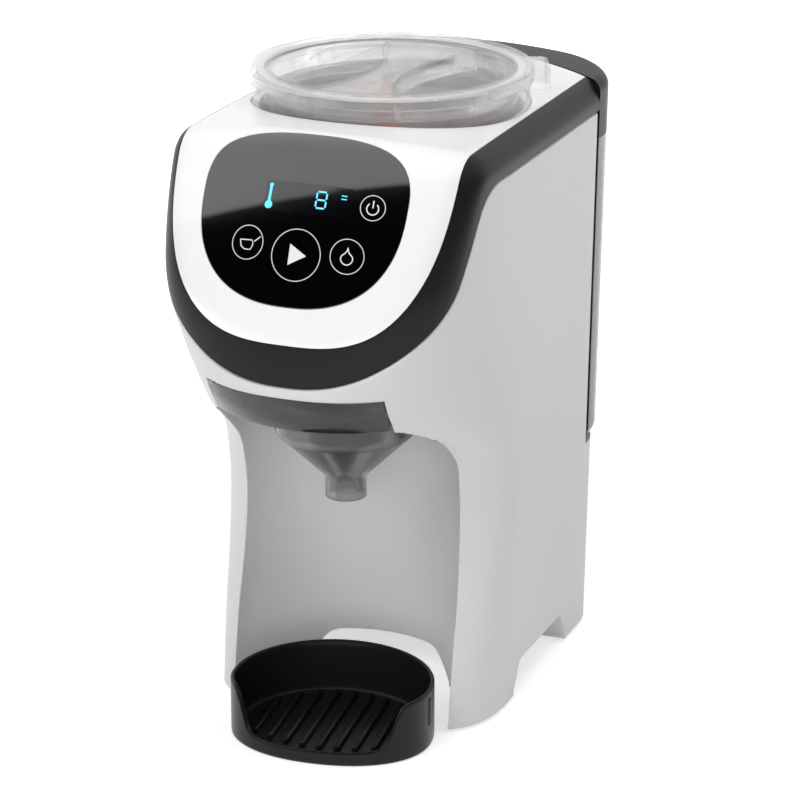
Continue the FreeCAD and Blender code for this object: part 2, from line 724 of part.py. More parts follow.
def lid_seal():
    inner = HOPPER_R - HOPPER_WALL
    return ring(COLLAR_R - 2.5, inner + 0.3, 0, HOPPER_Y, HOPPER_TOP_Z + 0.1, LID_TOP_Z - LID_WALL - 0.1)


def powder_chute():
    """Short duct that leads the powder from the seat's outlet down over the funnel."""
    y = HOPPER_Y - OUTLET_DIST
    top = HOPPER_FLOOR_Z - 3.0 - GAP
    duct = ring(OUTLET_R + 3.5, OUTLET_R + 1.5, 0, y, FLANGE_Z + 7, top)
    return fuse(duct, ring(OUTLET_R + 8, OUTLET_R + 1.5, 0, y, top - 2.5, top))


# ---------------------------------------------------------------- drive
GEAR_R = MODULE * GEAR_TEETH / 2
PINION_R = MODULE * PINION_TEETH / 2
MOTOR_Y = HOPPER_Y + GEAR_R + PINION_R
CASE_Z = FRAME_Z + GAP + FRAME_T + 0.1
GEAR_Z = CASE_Z + 5.5
CASE_TOP = GEAR_Z + GEAR_T + 4.0


def spur_gear(teeth, z0, thickness, x, y, first):
    """Gear blank with straight-flanked teeth, the first one pointing at the angle first."""
    pitch_r = MODULE * teeth / 2
    root, tip = pitch_r - 1.25 * MODULE, pitch_r + 0.9 * MODULE
    half = MODULE * math.pi / 4 - 0.25
    points = []
    for i in range(teeth):
        middle = math.radians(first) + 2 * math.pi * i / teeth
        for r, sign in ((root, -1), (tip, -1), (tip, 1), (root, 1)):
            width = half - (r - pitch_r) * math.tan(math.radians(20))
            a = middle + sign * width / r
            points.append(Vector(x + r * math.cos(a), y + r * math.sin(a), z0))
    return Part.Face(Part.makePolygon(points + points[:1])).extrude(Vector(0, 0, thickness))


def drive_gear():
    half_pitch = 180.0 / GEAR_TEETH
    wheel = spur_gear(GEAR_TEETH, GEAR_Z, GEAR_T, 0, HOPPER_Y, 90 + half_pitch)
    wheel = fuse(wheel, rod(9, 0, HOPPER_Y, GEAR_Z - 2, GEAR_Z + GEAR_T + 2))
    return wheel.cut(rod(5 + RUN, 0, HOPPER_Y, GEAR_Z - 5, GEAR_Z + GEAR_T + 5))


def drive_coupling():
    """Output shaft with the six-sided dog that turns the mixing wheel."""
    shaft = rod(5, 0, HOPPER_Y, CASE_Z + 2.6, HOPPER_FLOOR_Z - 0.5)
    stub = rod(3, 0, HOPPER_Y, CASE_Z + 0.2, CASE_Z + 3)
    return fuse(shaft, stub, hexagon(6.0, HOPPER_FLOOR_Z - 1, 9))


def motor_pinion():
    pinion = spur_gear(PINION_TEETH, GEAR_Z - 0.5, GEAR_T + 1, 0, MOTOR_Y, -90)
    return fuse(pinion, rod(2.5, 0, MOTOR_Y, FRAME_Z - 10, GEAR_Z))


def case_outline(grow, z0, z1):
    wide = GEAR_R + 2.6 + grow
    narrow = PINION_R + 3.0 + grow
    return fuse(rod(wide, 0, HOPPER_Y, z0, z1), rod(narrow, 0, MOTOR_Y, z0, z1),
                box(-narrow, narrow, HOPPER_Y, MOTOR_Y, z0, z1))


def gearbox_case():
    case = case_outline(2.4, CASE_Z, CASE_TOP).cut(case_outline(0, CASE_Z + 2.4, CASE_TOP + 1))
    case = case.cut(rod(3 + RUN, 0, HOPPER_Y, CASE_Z - 1, CASE_Z + 4))
    return case.cut(rod(3.5, 0, MOTOR_Y, CASE_Z - 1, CASE_Z + 4))


def gearbox_cover():
    cover = case_outline(2.4, CASE_TOP, CASE_TOP + 2.4)
    return cover.cut(rod(5 + RUN, 0, HOPPER_Y, CASE_TOP - 1, CASE_TOP + 4))


def dosing_motor():
    can = rod(MOTOR_R, 0, MOTOR_Y, FRAME_Z - MOTOR_L, FRAME_Z)
    tail = rod(4, 0, MOTOR_Y, FRAME_Z - MOTOR_L - 3, FRAME_Z - MOTOR_L)
    return fuse(can, tail).cut(rod(2.5 + RUN, 0, MOTOR_Y, FRAME_Z - 11, FRAME_Z + 1))


def inner_frame():
    """Plate that carries the drive, resting on the ledges of the housing."""
    half = half_width(FRAME_Z) - WALL - 4 * GAP
    z0 = FRAME_Z + GAP
    plate = rounded_box(-half, half, FRAME_FRONT_Y, FRAME_REAR_Y, z0, z0 + FRAME_T, FRAME_R, 8)
    plate = plate.cut(rod(OUTLET_R + 4.0, 0, HOPPER_Y - OUTLET_DIST, z0 - 1, z0 + 9))
    plate = plate.cut(rod(3.5, 0, MOTOR_Y, z0 - 1, z0 + 9))
    for side in (-1, 1):
        plate = plate.cut(rounded_box(side * 56 - 12, side * 56 + 12, -20, 40, z0 - 1, z0 + 9, 8, 8))
    return plate


# ---------------------------------------------------------------- funnel
def funnel():
    """Mixing funnel: a drawer flange with a front plate in the chin, a bowl and a spout."""
    z = FLANGE_Z + GAP
    rim = BOWL_R + 1.5
    t = FUNNEL_WALL
    bowl = turned([
        (SPOUT_R - t, SPOUT_Z), (SPOUT_R, SPOUT_Z), (SPOUT_R, CONE_FOOT_Z), (BOWL_R, CONE_TOP_Z),
        (rim, z + 2.4), (rim - t, z + 2.4), (BOWL_R - t, CONE_TOP_Z + 1),
        (SPOUT_R - t, CONE_FOOT_Z + 1)], 0, FUNNEL_Y)
    half = PLATE_HALF - 0.5
    body = outer_form(3.0, CHIN_Z - 2, PLATE_TOP_Z + 2)
    flange = box(-half, half, -150, FUNNEL_Y + rim + 2, z, z + 2.4).common(body)
    flange = flange.cut(rod(rim - 1, 0, FUNNEL_Y, z - 1, z + 5))
    plate = outer_form(0, CHIN_Z - 2, PLATE_TOP_Z + 2).cut(body)
    plate = plate.common(box(-PLATE_HALF, PLATE_HALF, -150, SIDE_Y - 60, CHIN_Z + GAP, PLATE_TOP_Z))
    return fuse(bowl, flange, plate)


def funnel_sensor():
    """Reed switch that tells whether the funnel is home, clipped under the frame."""
    y = FUNNEL_Y + BOWL_R + 8
    return box(-36, -24, y, y + 8, FRAME_Z - 8, FRAME_Z)


# ---------------------------------------------------------------- water path
NOZZLE_Y = -22.0
NOZZLE_Z = 196.0
PUMP = (-32.0, 98.0)
PUMP_R = 19.0
PUMP_H = 42.0
HEATER = (38.0, 56.0)
HEATER_R = 19.0
HEATER_H = 86.0
HOSE_R = 4.5
BARB_R = 3.0
LINE_Z = 32.0


def water_nozzle():
    block = box(-7, 7, NOZZLE_Y - 5, NOZZLE_Y + 6, NOZZLE_Z - 5, FRAME_Z)
    spout = rod(3.5, 0, NOZZLE_Y, FLANGE_Z + 4, NOZZLE_Z)
    barb = Part.makeCylinder(BARB_R, 16, Vector(0, NOZZLE_Y, NOZZLE_Z), Vector(1, 0, 0))
    return fuse(block, spout, barb).cut(rod(1.8, 0, NOZZLE_Y, FLANGE_Z, NOZZLE_Z))


def water_pump():
    x, y = PUMP
    z0 = STAND + 2.5
    can = rod(PUMP_R, x, y, z0, z0 + PUMP_H)
    inlet = rod(BARB_R, x, y, z0 + PUMP_H - 1, z0 + PUMP_H + 10)
    outlet = Part.makeCylinder(BARB_R, PUMP_R + 10, Vector(x, y, LINE_Z), Vector(1, 0, 0))
    foot = box(x - 22, x + 22, y - 12, y + 12, z0, z0 + 3)
    return fuse(can, inlet, outlet, foot)


def flow_heater():
    x, y = HEATER
    z0 = ARCH_Z + WALL - 0.5
    body = rod(HEATER_R, x, y, z0, z0 + HEATER_H)
    cap = rod(HEATER_R - 5, x, y, z0 + HEATER_H, z0 + HEATER_H + 5)
    outlet = rod(BARB_R, x, y, z0 + HEATER_H, z0 + HEATER_H + 15)
    inlet = Part.makeCylinder(BARB_R, HEATER_R + 10, Vector(x, y, LINE_Z), Vector(0, 1, 0))
    return fuse(body, cap, outlet, inlet)


def inlet_tube():
    x, y = PUMP
    top = STAND + 2.5 + PUMP_H + 1
    route = [Vector(0, VALVE_Y, SHELF_Z - 11), Vector(0, VALVE_Y, top + 24), Vector(x, y, top + 24),
             Vector(x, y, top)]
    return hose(route, 10, HOSE_R, BARB_R + 0.1)


def heater_tube():
    x, y = PUMP
    hx, hy = HEATER
    route = [Vector(x + PUMP_R + 1, y, LINE_Z), Vector(hx, y, LINE_Z), Vector(hx, hy + HEATER_R + 1, LINE_Z)]
    return hose(route, 10, HOSE_R, BARB_R + 0.1)


def nozzle_tube():
    x, y = HEATER
    top = ARCH_Z + WALL - 0.5 + HEATER_H + 6
    route = [Vector(x, y, top), Vector(x, y, NOZZLE_Z), Vector(x, NOZZLE_Y, NOZZLE_Z),
             Vector(8, NOZZLE_Y, NOZZLE_Z)]
    return hose(route, 12, HOSE_R, BARB_R + 0.1)


def power_board():
    """Mains and motor supply on the left wall of the column."""
    x0 = -(BASE_HALF - WALL) + 0.3
    board = box(x0, x0 + 1.6, 20, 72, 40, 140)
    transformer = box(x0 + 1.6, x0 + 20, 28, 52, 90, 120)
    capacitor = rod(7, x0 + 8.2, 60, 50, 72)
    relay = box(x0 + 1.6, x0 + 13, 28, 44, 52, 70)
    return fuse(board, transformer, capacitor, relay)


# ---------------------------------------------------------------- water tank
HINGE_R = 3.1
PIN_R = 1.25
HINGE_Y = REAR_Y - HINGE_R - 0.2
HINGE_Z = LID_SEAM_Z - HINGE_R - 0.2 - GAP
KNUCKLE = 9.0


def round_foot(tank, z, radius):
    """Rounds the bottom edges of the tank, but not the one along the curved front wall."""
    edges = [e for e in tank.Edges if e.BoundBox.ZMax < z + 0.01]
    curved = max(edges, key=lambda e: e.Length)
    return tank.makeFillet(radius, [e for e in edges if not e.isSame(curved)])


def water_tank():
    z0 = SHELF_Z + GAP
    outer = tank_form(0, TANK_GAP, z0, LID_SEAM_Z - GAP)
    inner = tank_form(TANK_WALL, TANK_GAP + TANK_WALL, z0 + TANK_FLOOR, LID_SEAM_Z + 1)
    outer = round_foot(outer, z0, TANK_FOOT_R)
    tank = outer.cut(round_foot(inner, z0 + TANK_FLOOR, TANK_FOOT_R - TANK_WALL))
    barrel = Part.makeCylinder(HINGE_R, 44, Vector(-22, HINGE_Y, HINGE_Z), Vector(1, 0, 0))
    root = box(-22, 22, HINGE_Y - HINGE_R, HINGE_Y, HINGE_Z - 8, HINGE_Z)
    ear = fuse(barrel, root).common(tank_form(0, TANK_GAP, z0, LID_SEAM_Z))
    notch = box(-KNUCKLE - GAP, KNUCKLE + GAP, HINGE_Y - 5, REAR_Y + 5, HINGE_Z - 4.5, LID_SEAM_Z + 5)
    corner = box(-90, 90, HINGE_Y, REAR_Y + 1, HINGE_Z, LID_SEAM_Z + 1)
    swing = Part.makeCylinder(HINGE_R + 0.1, 200, Vector(-100, HINGE_Y, HINGE_Z), Vector(1, 0, 0))
    tank = fuse(tank, ear).cut(corner.cut(swing)).cut(notch)
    tank = tank.cut(Part.makeCylinder(PIN_R + RUN, 60, Vector(-30, HINGE_Y, HINGE_Z), Vector(1, 0, 0)))
    neck = rod(7.0, 0, VALVE_Y, z0 - 0.0, z0 + 14)
    bore = rod(4.6, 0, VALVE_Y, z0 - 1, z0 + 20)
    return fuse(tank, neck).cut(bore)


def tank_lid():
    """Black cap of the tank, level with the deck, hinged at its lower rear edge."""
    shell = tank_form(0, TANK_GAP, LID_SEAM_Z, DECK_Z + 20).cut(above_face(0))
    shell = max(shell.Solids, key=lambda s: s.Volume)
    top = max(shell.Faces, key=lambda f: f.CenterOfMass.z)
    edges = []
    for e in top.Edges:
        b = e.BoundBox
        along_front = b.YMin < TANK_ARC_Y - 10 and abs(b.XMin + b.XMax) < 1
        if b.YMax > REAR_Y - REAR_R - 1 and b.YMin > TANK_ARC_Y - 40 and not along_front:
            edges.append(e)
    shell = shell.makeFillet(7.0, edges)
    inner = tank_form(2.4, TANK_GAP + 2.4, LID_SEAM_Z - 1, DECK_Z + 20).cut(above_face(3.6))
    inner = max(inner.Solids, key=lambda s: s.Volume)
    lid = shell.cut(inner)
    web = box(-KNUCKLE, KNUCKLE, HINGE_Y - 2.2, REAR_Y - 0.3, HINGE_Z, LID_SEAM_Z + 2.5)
    barrel = Part.makeCylinder(HINGE_R, 2 * KNUCKLE, Vector(-KNUCKLE, HINGE_Y, HINGE_Z), Vector(1, 0, 0))
    lid = fuse(lid, web, barrel)
    return lid.cut(Part.makeCylinder(PIN_R + RUN, 60, Vector(-30, HINGE_Y, HINGE_Z), Vector(1, 0, 0)))


def lid_hinge_pin():
    return Part.makeCylinder(PIN_R, 42, Vector(-21, HINGE_Y, HINGE_Z), Vector(1, 0, 0))


def tank_valve():
    """Plunger that closes the tank's outlet from inside."""
    z0 = SHELF_Z + GAP
    disc = rod(6.5, 0, VALVE_Y, z0 + 14.3, z0 + 16.5)
    stem = rod(2.0, 0, VALVE_Y, z0 + 3, z0 + 27)
    return fuse(disc, stem)


def valve_guide():
    """Cage over the valve that holds its spring."""
    z0 = SHELF_Z + GAP
    top = ring(7.0, 2.0 + RUN * 2, 0, VALVE_Y, z0 + 24, z0 + 26)
    legs = [box(x - 1, x + 1, VALVE_Y - 2, VALVE_Y + 2, z0 + 3.2, z0 + 26) for x in (-8.4, 8.4)]
    bars = box(-9.4, 9.4, VALVE_Y - 2, VALVE_Y + 2, z0 + 24, z0 + 26)
    bars = bars.cut(rod(2.0 + RUN * 2, 0, VALVE_Y, z0, z0 + 40))
    return fuse(top, bars, *legs)


def valve_spring():
    z0 = SHELF_Z + GAP + 16.6
    coils = [ring(4.4, 3.6, 0, VALVE_Y, z0 + 1.55 * i, z0 + 1.55 * i + 0.8) for i in range(5)]
    return Part.makeCompound(coils)


def valve_socket():
    """Rubber cup in the shelf that the tank's outlet stands over, with its hose barb below."""
    cup = ring(4.4, 3.0, 0, VALVE_Y, SHELF_Z - WALL, SHELF_Z + GAP + 1.5)
    flange = ring(7.0, 3.0, 0, VALVE_Y, SHELF_Z - WALL - 2, SHELF_Z - WALL)
    barb = ring(BARB_R, 1.8, 0, VALVE_Y, SHELF_Z - WALL - 16, SHELF_Z - WALL)
    foot = ring(7.0, 1.8, 0, VALVE_Y, SHELF_Z - WALL - 3, SHELF_Z - WALL - 2)
    bridge = box(-3, 3, VALVE_Y - 0.6, VALVE_Y + 0.6, SHELF_Z - WALL - 3, SHELF_Z - WALL - 1)
    post = rod(1.0, 0, VALVE_Y, SHELF_Z - WALL - 3, SHELF_Z + 3.0)
    return fuse(cup, flange, foot, barb, bridge, post)


# ---------------------------------------------------------------- drip tray
def tray_outline(inset, z0, z1):
    """Plan of the tray: round behind, squarer in front."""
    a = TRAY_HALF - inset
    front = [Vector(a * c, BAY_Y - (TRAY_REACH - inset) * s, z0) for c, s in half_superellipse(24, 2.6)]
    curve = Part.BSplineCurve()
    curve.interpolate(front)
    back = Part.Arc(front[-1], Vector(0, BAY_Y + a, z0), front[0])
    return Part.Face(Part.Wire([curve.toShape(), back.toShape()])).extrude(Vector(0, 0, z1 - z0))


def drip_tray():
    """Black tray: a low front lip that sweeps up to high sides, and ribs that the bottle stands on."""
    floor = 2.5
    tray = tray_outline(0, 0, TRAY_SIDE_H).cut(tray_outline(TRAY_WALL, floor, TRAY_SIDE_H + 1))
    lip_y = BAY_Y - 45.0
    rise_y = BAY_Y - 14.0
    points = [Vector(-90, -200, TRAY_FRONT_H), Vector(-90, lip_y, TRAY_FRONT_H),
              Vector(-90, rise_y, TRAY_SIDE_H), Vector(-90, rise_y + 20, TRAY_SIDE_H),
              Vector(-90, rise_y + 20, 60), Vector(-90, -200, 60)]
    tray = tray.cut(prism(points, [0, 18, 18, 0, 0, 0], Vector(180, 0, 0)))
    ribs = []
    for i in range(RIB_COUNT):
        x = (i - (RIB_COUNT - 1) / 2) * RIB_PITCH
        reach = math.sqrt((TRAY_HALF - 8) ** 2 - x * x)
        ribs.append(rounded_box(x - RIB_W / 2, x + RIB_W / 2, BAY_Y - reach, BAY_Y + 0.8 * reach,
                                floor - 0.5, floor + RIB_H, 1.4, 1.4))
    tray = fuse(tray, *ribs)
    pill_y = BAY_Y - 20.0
    bead = rounded_box(-2.2, 2.2, -1.5, 1.5, 7, 25, 1.2, 1.2)
    bead.rotate(Vector(0, 0, 0), Vector(0, 0, 1), 90)
    x = TRAY_HALF * (1 - (20.0 / TRAY_REACH) ** 2.6) ** (1 / 2.6)
    bead.translate(Vector(x - 0.3, pill_y, 0))
    bead = bead.cut(tray_outline(0.5, -1, 60))
    return fuse(tray, bead, mirrored(bead))


# ---------------------------------------------------------------- write the nodes
NODES = [
    main_housing, bay_liner, tank_cradle, trim_band, top_fascia, panel_lens, touch_board, lcd_module,
    base_plate, base_screws, rubber_feet, cord_gland, container_seat, powder_container,
    container_base, dosing_disc, powder_wiper, mixing_wheel, container_lid, lid_seal,
    powder_chute, drive_gear, drive_coupling, motor_pinion, gearbox_case, gearbox_cover,
    dosing_motor, inner_frame, funnel, funnel_sensor, water_nozzle,
    water_pump, flow_heater, inlet_tube, heater_tube, nozzle_tube, power_board, water_tank, tank_lid,
    lid_hinge_pin, tank_valve, valve_guide, valve_spring, valve_socket, drip_tray,
]

os.makedirs("parts", exist_ok=True)
for maker in NODES:
    shape = maker()
    state = f"solids {len(shape.Solids)} valid {shape.isValid()} volume {shape.Volume / 1000:.1f} cm3"
    print(f"{maker.__name__:18s} {state}")
    shape.exportStep(f"parts/{maker.__name__}.step")
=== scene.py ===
import json

import bmesh
import bpy
import numpy as np
from mathutils import Matrix, Vector


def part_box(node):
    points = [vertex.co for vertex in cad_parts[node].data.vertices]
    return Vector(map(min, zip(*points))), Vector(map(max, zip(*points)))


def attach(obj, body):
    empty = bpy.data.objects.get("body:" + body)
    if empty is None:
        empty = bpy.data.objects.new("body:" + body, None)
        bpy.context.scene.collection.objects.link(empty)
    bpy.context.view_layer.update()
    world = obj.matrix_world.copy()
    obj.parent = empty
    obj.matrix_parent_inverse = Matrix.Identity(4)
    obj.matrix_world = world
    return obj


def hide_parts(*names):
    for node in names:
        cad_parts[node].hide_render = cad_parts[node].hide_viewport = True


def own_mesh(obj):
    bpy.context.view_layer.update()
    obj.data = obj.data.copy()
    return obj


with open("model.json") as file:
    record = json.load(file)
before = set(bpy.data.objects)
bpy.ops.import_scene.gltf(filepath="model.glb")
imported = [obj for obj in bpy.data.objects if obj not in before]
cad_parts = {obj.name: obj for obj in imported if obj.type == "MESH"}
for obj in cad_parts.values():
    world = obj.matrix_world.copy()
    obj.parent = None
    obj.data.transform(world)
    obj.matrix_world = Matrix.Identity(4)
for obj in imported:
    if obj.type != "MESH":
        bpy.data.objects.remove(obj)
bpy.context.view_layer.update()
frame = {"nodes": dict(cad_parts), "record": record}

# ---------------------------------------------------------------- main housing
# One moulded shell of satin light-grey plastic: chin, bottle bay, two legs with a side arch between
# feet and rear base, and the shelf that the tank stands on. Its plan outline is a superellipse in
# front, whose reach and squareness change with height, straight leaning sides and a curved rear.
GREY = (0.72, 0.722, 0.728)
STAND, CHIN, DECK, SHELF = 1.5, 177.3, 318.0, 108.5
NECK, SEAM_TOP, INNER_Z, WALL = 150.0, 295, 181.0, 3.4
SIDE_Y = -14.0
REAR_Y, REAR_R = -88.0, 198.0
OUTLINE = np.array([
    (STAND, 60.5, 3.3), (44.3, 54.0, 3.0), (74.5, 46.5, 2.7), (111.7, 43.5, 2.35), (138.3, 48.0, 2.45),
    (157.8, 72.0, 2.45), (CHIN, 109.5, 2.1), (190.0, 117.0, 2.25), (212.0, 121.5, 2.75),
    (255.0, 123.0, 3.9), (345.0, 123.0, 4.0)])


def through(table, z, column):
    """Monotone cubic through one column of a table of heights: slopes are harmonic means."""
    zs, vs = table[:, 0], table[:, column]
    step = np.diff(zs)
    slope = np.diff(vs) / step
    rising = slope[:-1] * slope[1:] > 0
    total = np.where(rising, slope[:-1] + slope[1:], 1.0)
    inner = np.where(rising, 2 * slope[:-1] * slope[1:] / total, 0.0)
    ends = np.concatenate([slope[:1], inner, slope[-1:]])
    i = np.clip(np.searchsorted(zs, z, side="right") - 1, 0, len(step) - 1)
    t = (z - zs[i]) / step[i]
    return ((1 + 2 * t) * (1 - t) ** 2 * vs[i] + t * (1 - t) ** 2 * step[i] * ends[i]
            + t * t * (3 - 2 * t) * vs[i + 1] + t * t * (t - 1) * step[i] * ends[i + 1])


def half_width(z):
    """Half width of the straight sides, which lean outwards all the way up."""
    return 78.0 + 5.5 * z / 295.0


REAR_COLUMNS = np.linspace(0, 1, 23)[:-1]
SIDE_COLUMNS = np.linspace(60, SIDE_Y, 13)[:-1]
NOSE_COLUMNS = np.linspace(0, np.pi / 2, 53)
REAR_N = len(REAR_COLUMNS)
FLANK_N = REAR_N + len(SIDE_COLUMNS)
HALF_N = FLANK_N + len(NOSE_COLUMNS)


def right_half(z, low=False, inset=0.0):
    """Plan outline of the body from its rear middle round to its nose, one row per height: an arc or
    a rounded corner behind, a straight side, and a quarter superellipse in front."""
    z = np.atleast_2d(z).T if np.ndim(z) == 1 else z
    a = half_width(z) - inset
    f = REAR_COLUMNS[None, :]
    za = a[:, :REAR_N] if a.shape[1] > 1 else a
    if low:
        r = 38.0 - inset
        turn = np.clip((f - 0.35) / 0.5, 0, 1) * np.pi / 2
        x = np.minimum(f / 0.35, 1) * (za - r) + r * np.sin(turn)
        y = 130.5 - inset - r + r * np.cos(turn) - np.clip((f - 0.85) / 0.15, 0, 1) * 32.5
    else:
        r = REAR_R - inset
        swing = np.minimum(f / 0.7, 1) * np.arcsin(za / r)
        corner = REAR_Y + np.sqrt(r * r - za * za)
        x = r * np.sin(swing)
        straight = corner + (60 - corner) * np.clip((f - 0.7) / 0.3, 0, 1)
        y = np.where(f < 0.7, REAR_Y + r * np.cos(swing), straight)
    rear = np.stack([x + 0 * y, y + 0 * x], -1)
    za = a[:, REAR_N:FLANK_N] if a.shape[1] > 1 else a
    side = np.stack([za + 0 * SIDE_COLUMNS, SIDE_COLUMNS + 0 * za], -1)
    za = a[:, FLANK_N:] if a.shape[1] > 1 else a
    zn = z[:, FLANK_N:] if z.shape[1] > 1 else z
    reach = through(OUTLINE, zn, 1) - inset
    power = 2 / through(OUTLINE, zn, 2)
    c, s = np.cos(NOSE_COLUMNS), np.sin(NOSE_COLUMNS)
    c[-1] = 0.0
    nose = np.stack([za * c ** power, SIDE_Y - reach * s ** power], -1)
    return np.concatenate([rear, side, nose], 1)


def whole_loop(half, z):
    """Closed loops (x, y, z) from right halves: the left side mirrors the right one."""
    z = np.broadcast_to(z, half.shape[:2])
    right = np.concatenate([half, z[..., None]], -1)
    left = right[:, -2:0:-1] * np.array([-1, 1, 1])
    return np.concatenate([right, left], 1)


def bent_line(points, radii, pieces=14):
    """Line through points whose corners are arcs: each is turned about the centre of its circle."""
    points = [np.array(p, float) for p in points]
    out = [points[0]]
    for before, corner, after, radius in zip(points, points[1:], points[2:], radii):
        u = (before - corner) / np.linalg.norm(before - corner)
        v = (after - corner) / np.linalg.norm(after - corner)
        half = np.arccos(np.clip(u @ v, -1, 1)) / 2
        centre = corner + (u + v) / np.linalg.norm(u + v) * radius / np.sin(half)
        start = corner + u * radius / np.tan(half) - centre
        end = corner + v * radius / np.tan(half) - centre
        sweep = np.pi - 2 * half
        t = np.linspace(0, 1, pieces)[:, None]
        out += list(centre + (np.sin((1 - t) * sweep) * start + np.sin(t * sweep) * end) / np.sin(sweep))
    return np.array(out + [points[-1]])


SEAM = bent_line([(250, SEAM_TOP), (-72, SEAM_TOP), (-98.7, 247.1), (-134.6, 201.9)], [28, 60])[::-1]


def seam_height(y):
    """Height of the lower edge of the trim band, drawn in side view."""
    return np.interp(y, SEAM[:, 0], SEAM[:, 1])


low_edge, high_edge = np.full((1, HALF_N), NECK), np.full((1, HALF_N), 305.0)
for _ in range(40):
    middle = (low_edge + high_edge) / 2
    under = middle < seam_height(right_half(middle)[..., 1])
    low_edge, high_edge = np.where(under, middle, low_edge), np.where(under, high_edge, middle)
seam_z = low_edge
seam_z[:, :FLANK_N] = SEAM_TOP


def new_piece(name, points, faces):
    """Mesh object in metres from points in millimetres, with its doubles merged and faces outwards."""
    mesh = bpy.data.meshes.new(name)
    mesh.from_pydata((np.asarray(points) / 1000).tolist(), [], [list(f) for f in faces])
    piece = bpy.data.objects.new(name, mesh)
    bpy.context.scene.collection.objects.link(piece)
    shape = bmesh.new()
    shape.from_mesh(mesh)
    bmesh.ops.remove_doubles(shape, verts=shape.verts, dist=2e-6)
    bmesh.ops.recalc_face_normals(shape, faces=shape.faces)
    shape.to_mesh(mesh)
    shape.free()
    return piece


def quads(rows, columns, closed=True, first=0):
    """Faces of a grid of points, row after row; a closed one joins its last column to its first."""
    across = columns if closed else columns - 1
    i, j = np.meshgrid(np.arange(rows - 1), np.arange(across), indexing="ij")
    k = (j + 1) % columns
    cells = np.stack([i * columns + j, i * columns + k, (i + 1) * columns + k, (i + 1) * columns + j], -1)
    return (cells.reshape(-1, 4) + first).tolist()


def capped(name, loops, low_cap=None, high_cap=None):
    """Closed piece from stacked loops, each end fanned to a point (the loop's middle by default)."""
    rows, columns = loops.shape[:2]
    ends = [loops[0].mean(0) if low_cap is None else low_cap,
            loops[-1].mean(0) if high_cap is None else high_cap]
    points = np.concatenate([loops.reshape(-1, 3), np.array(ends)])
    faces = quads(rows, columns)
    j = np.arange(columns)
    k, n = (j + 1) % columns, rows * columns
    faces += np.stack([k, j, n + 0 * j], -1).tolist()
    faces += np.stack([n - columns + j, n - columns + k, n + 1 + 0 * j], -1).tolist()
    return new_piece(name, points, faces)


def carve(piece, *tools):
    """Cuts closed tools out of a piece; a cut face keeps its tool's material number, which is 1."""
    marks = [bpy.data.materials.new("kept"), bpy.data.materials.new("cut")]
    piece.data.materials.append(marks[0])
    for tool in tools:
        tool.data.materials.append(marks[1])
        cut = piece.modifiers.new("cut", "BOOLEAN")
        cut.object, cut.operation, cut.solver = tool, "DIFFERENCE", "EXACT"
        cut.material_mode = "TRANSFER"
    bpy.context.view_layer.update()
    mesh = bpy.data.meshes.new_from_object(piece.evaluated_get(bpy.context.evaluated_depsgraph_get()))
    piece.modifiers.clear()
    piece.data = mesh
    for tool in tools:
        bpy.data.objects.remove(tool)


def ease_cuts(piece, width, where=lambda p: True):
    """Small rounding along the edges between a cut face and the moulded skin."""
    shape = bmesh.new()
    shape.from_mesh(piece.data)
    bmesh.ops.remove_doubles(shape, verts=shape.verts, dist=5e-5)
    rims = [e for e in shape.edges if len(e.link_faces) == 2
            and e.link_faces[0].material_index != e.link_faces[1].material_index
            and e.calc_face_angle(0) > 0.5 and where((e.verts[0].co + e.verts[1].co) * 500)]
    bmesh.ops.bevel(shape, geom=rims, offset=width / 1000, segments=3, profile=0.5, affect="EDGES",
                    clamp_overlap=False, offset_type="OFFSET")
    shape.to_mesh(piece.data)
    shape.free()


def finish(piece, body, material, angle=32.0, *nodes):
    """Smooth shading up to an angle, one material, and the CAD body that the piece rides on."""
    piece.data.materials.clear()
    piece.data.materials.append(material)
    piece.data.polygons.foreach_set("material_index", np.zeros(len(piece.data.polygons), int))
    piece.data.shade_smooth()
    piece.data.set_sharp_from_angle(angle=np.radians(angle))
    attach(piece, body)
    if nodes:
        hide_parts(*nodes)


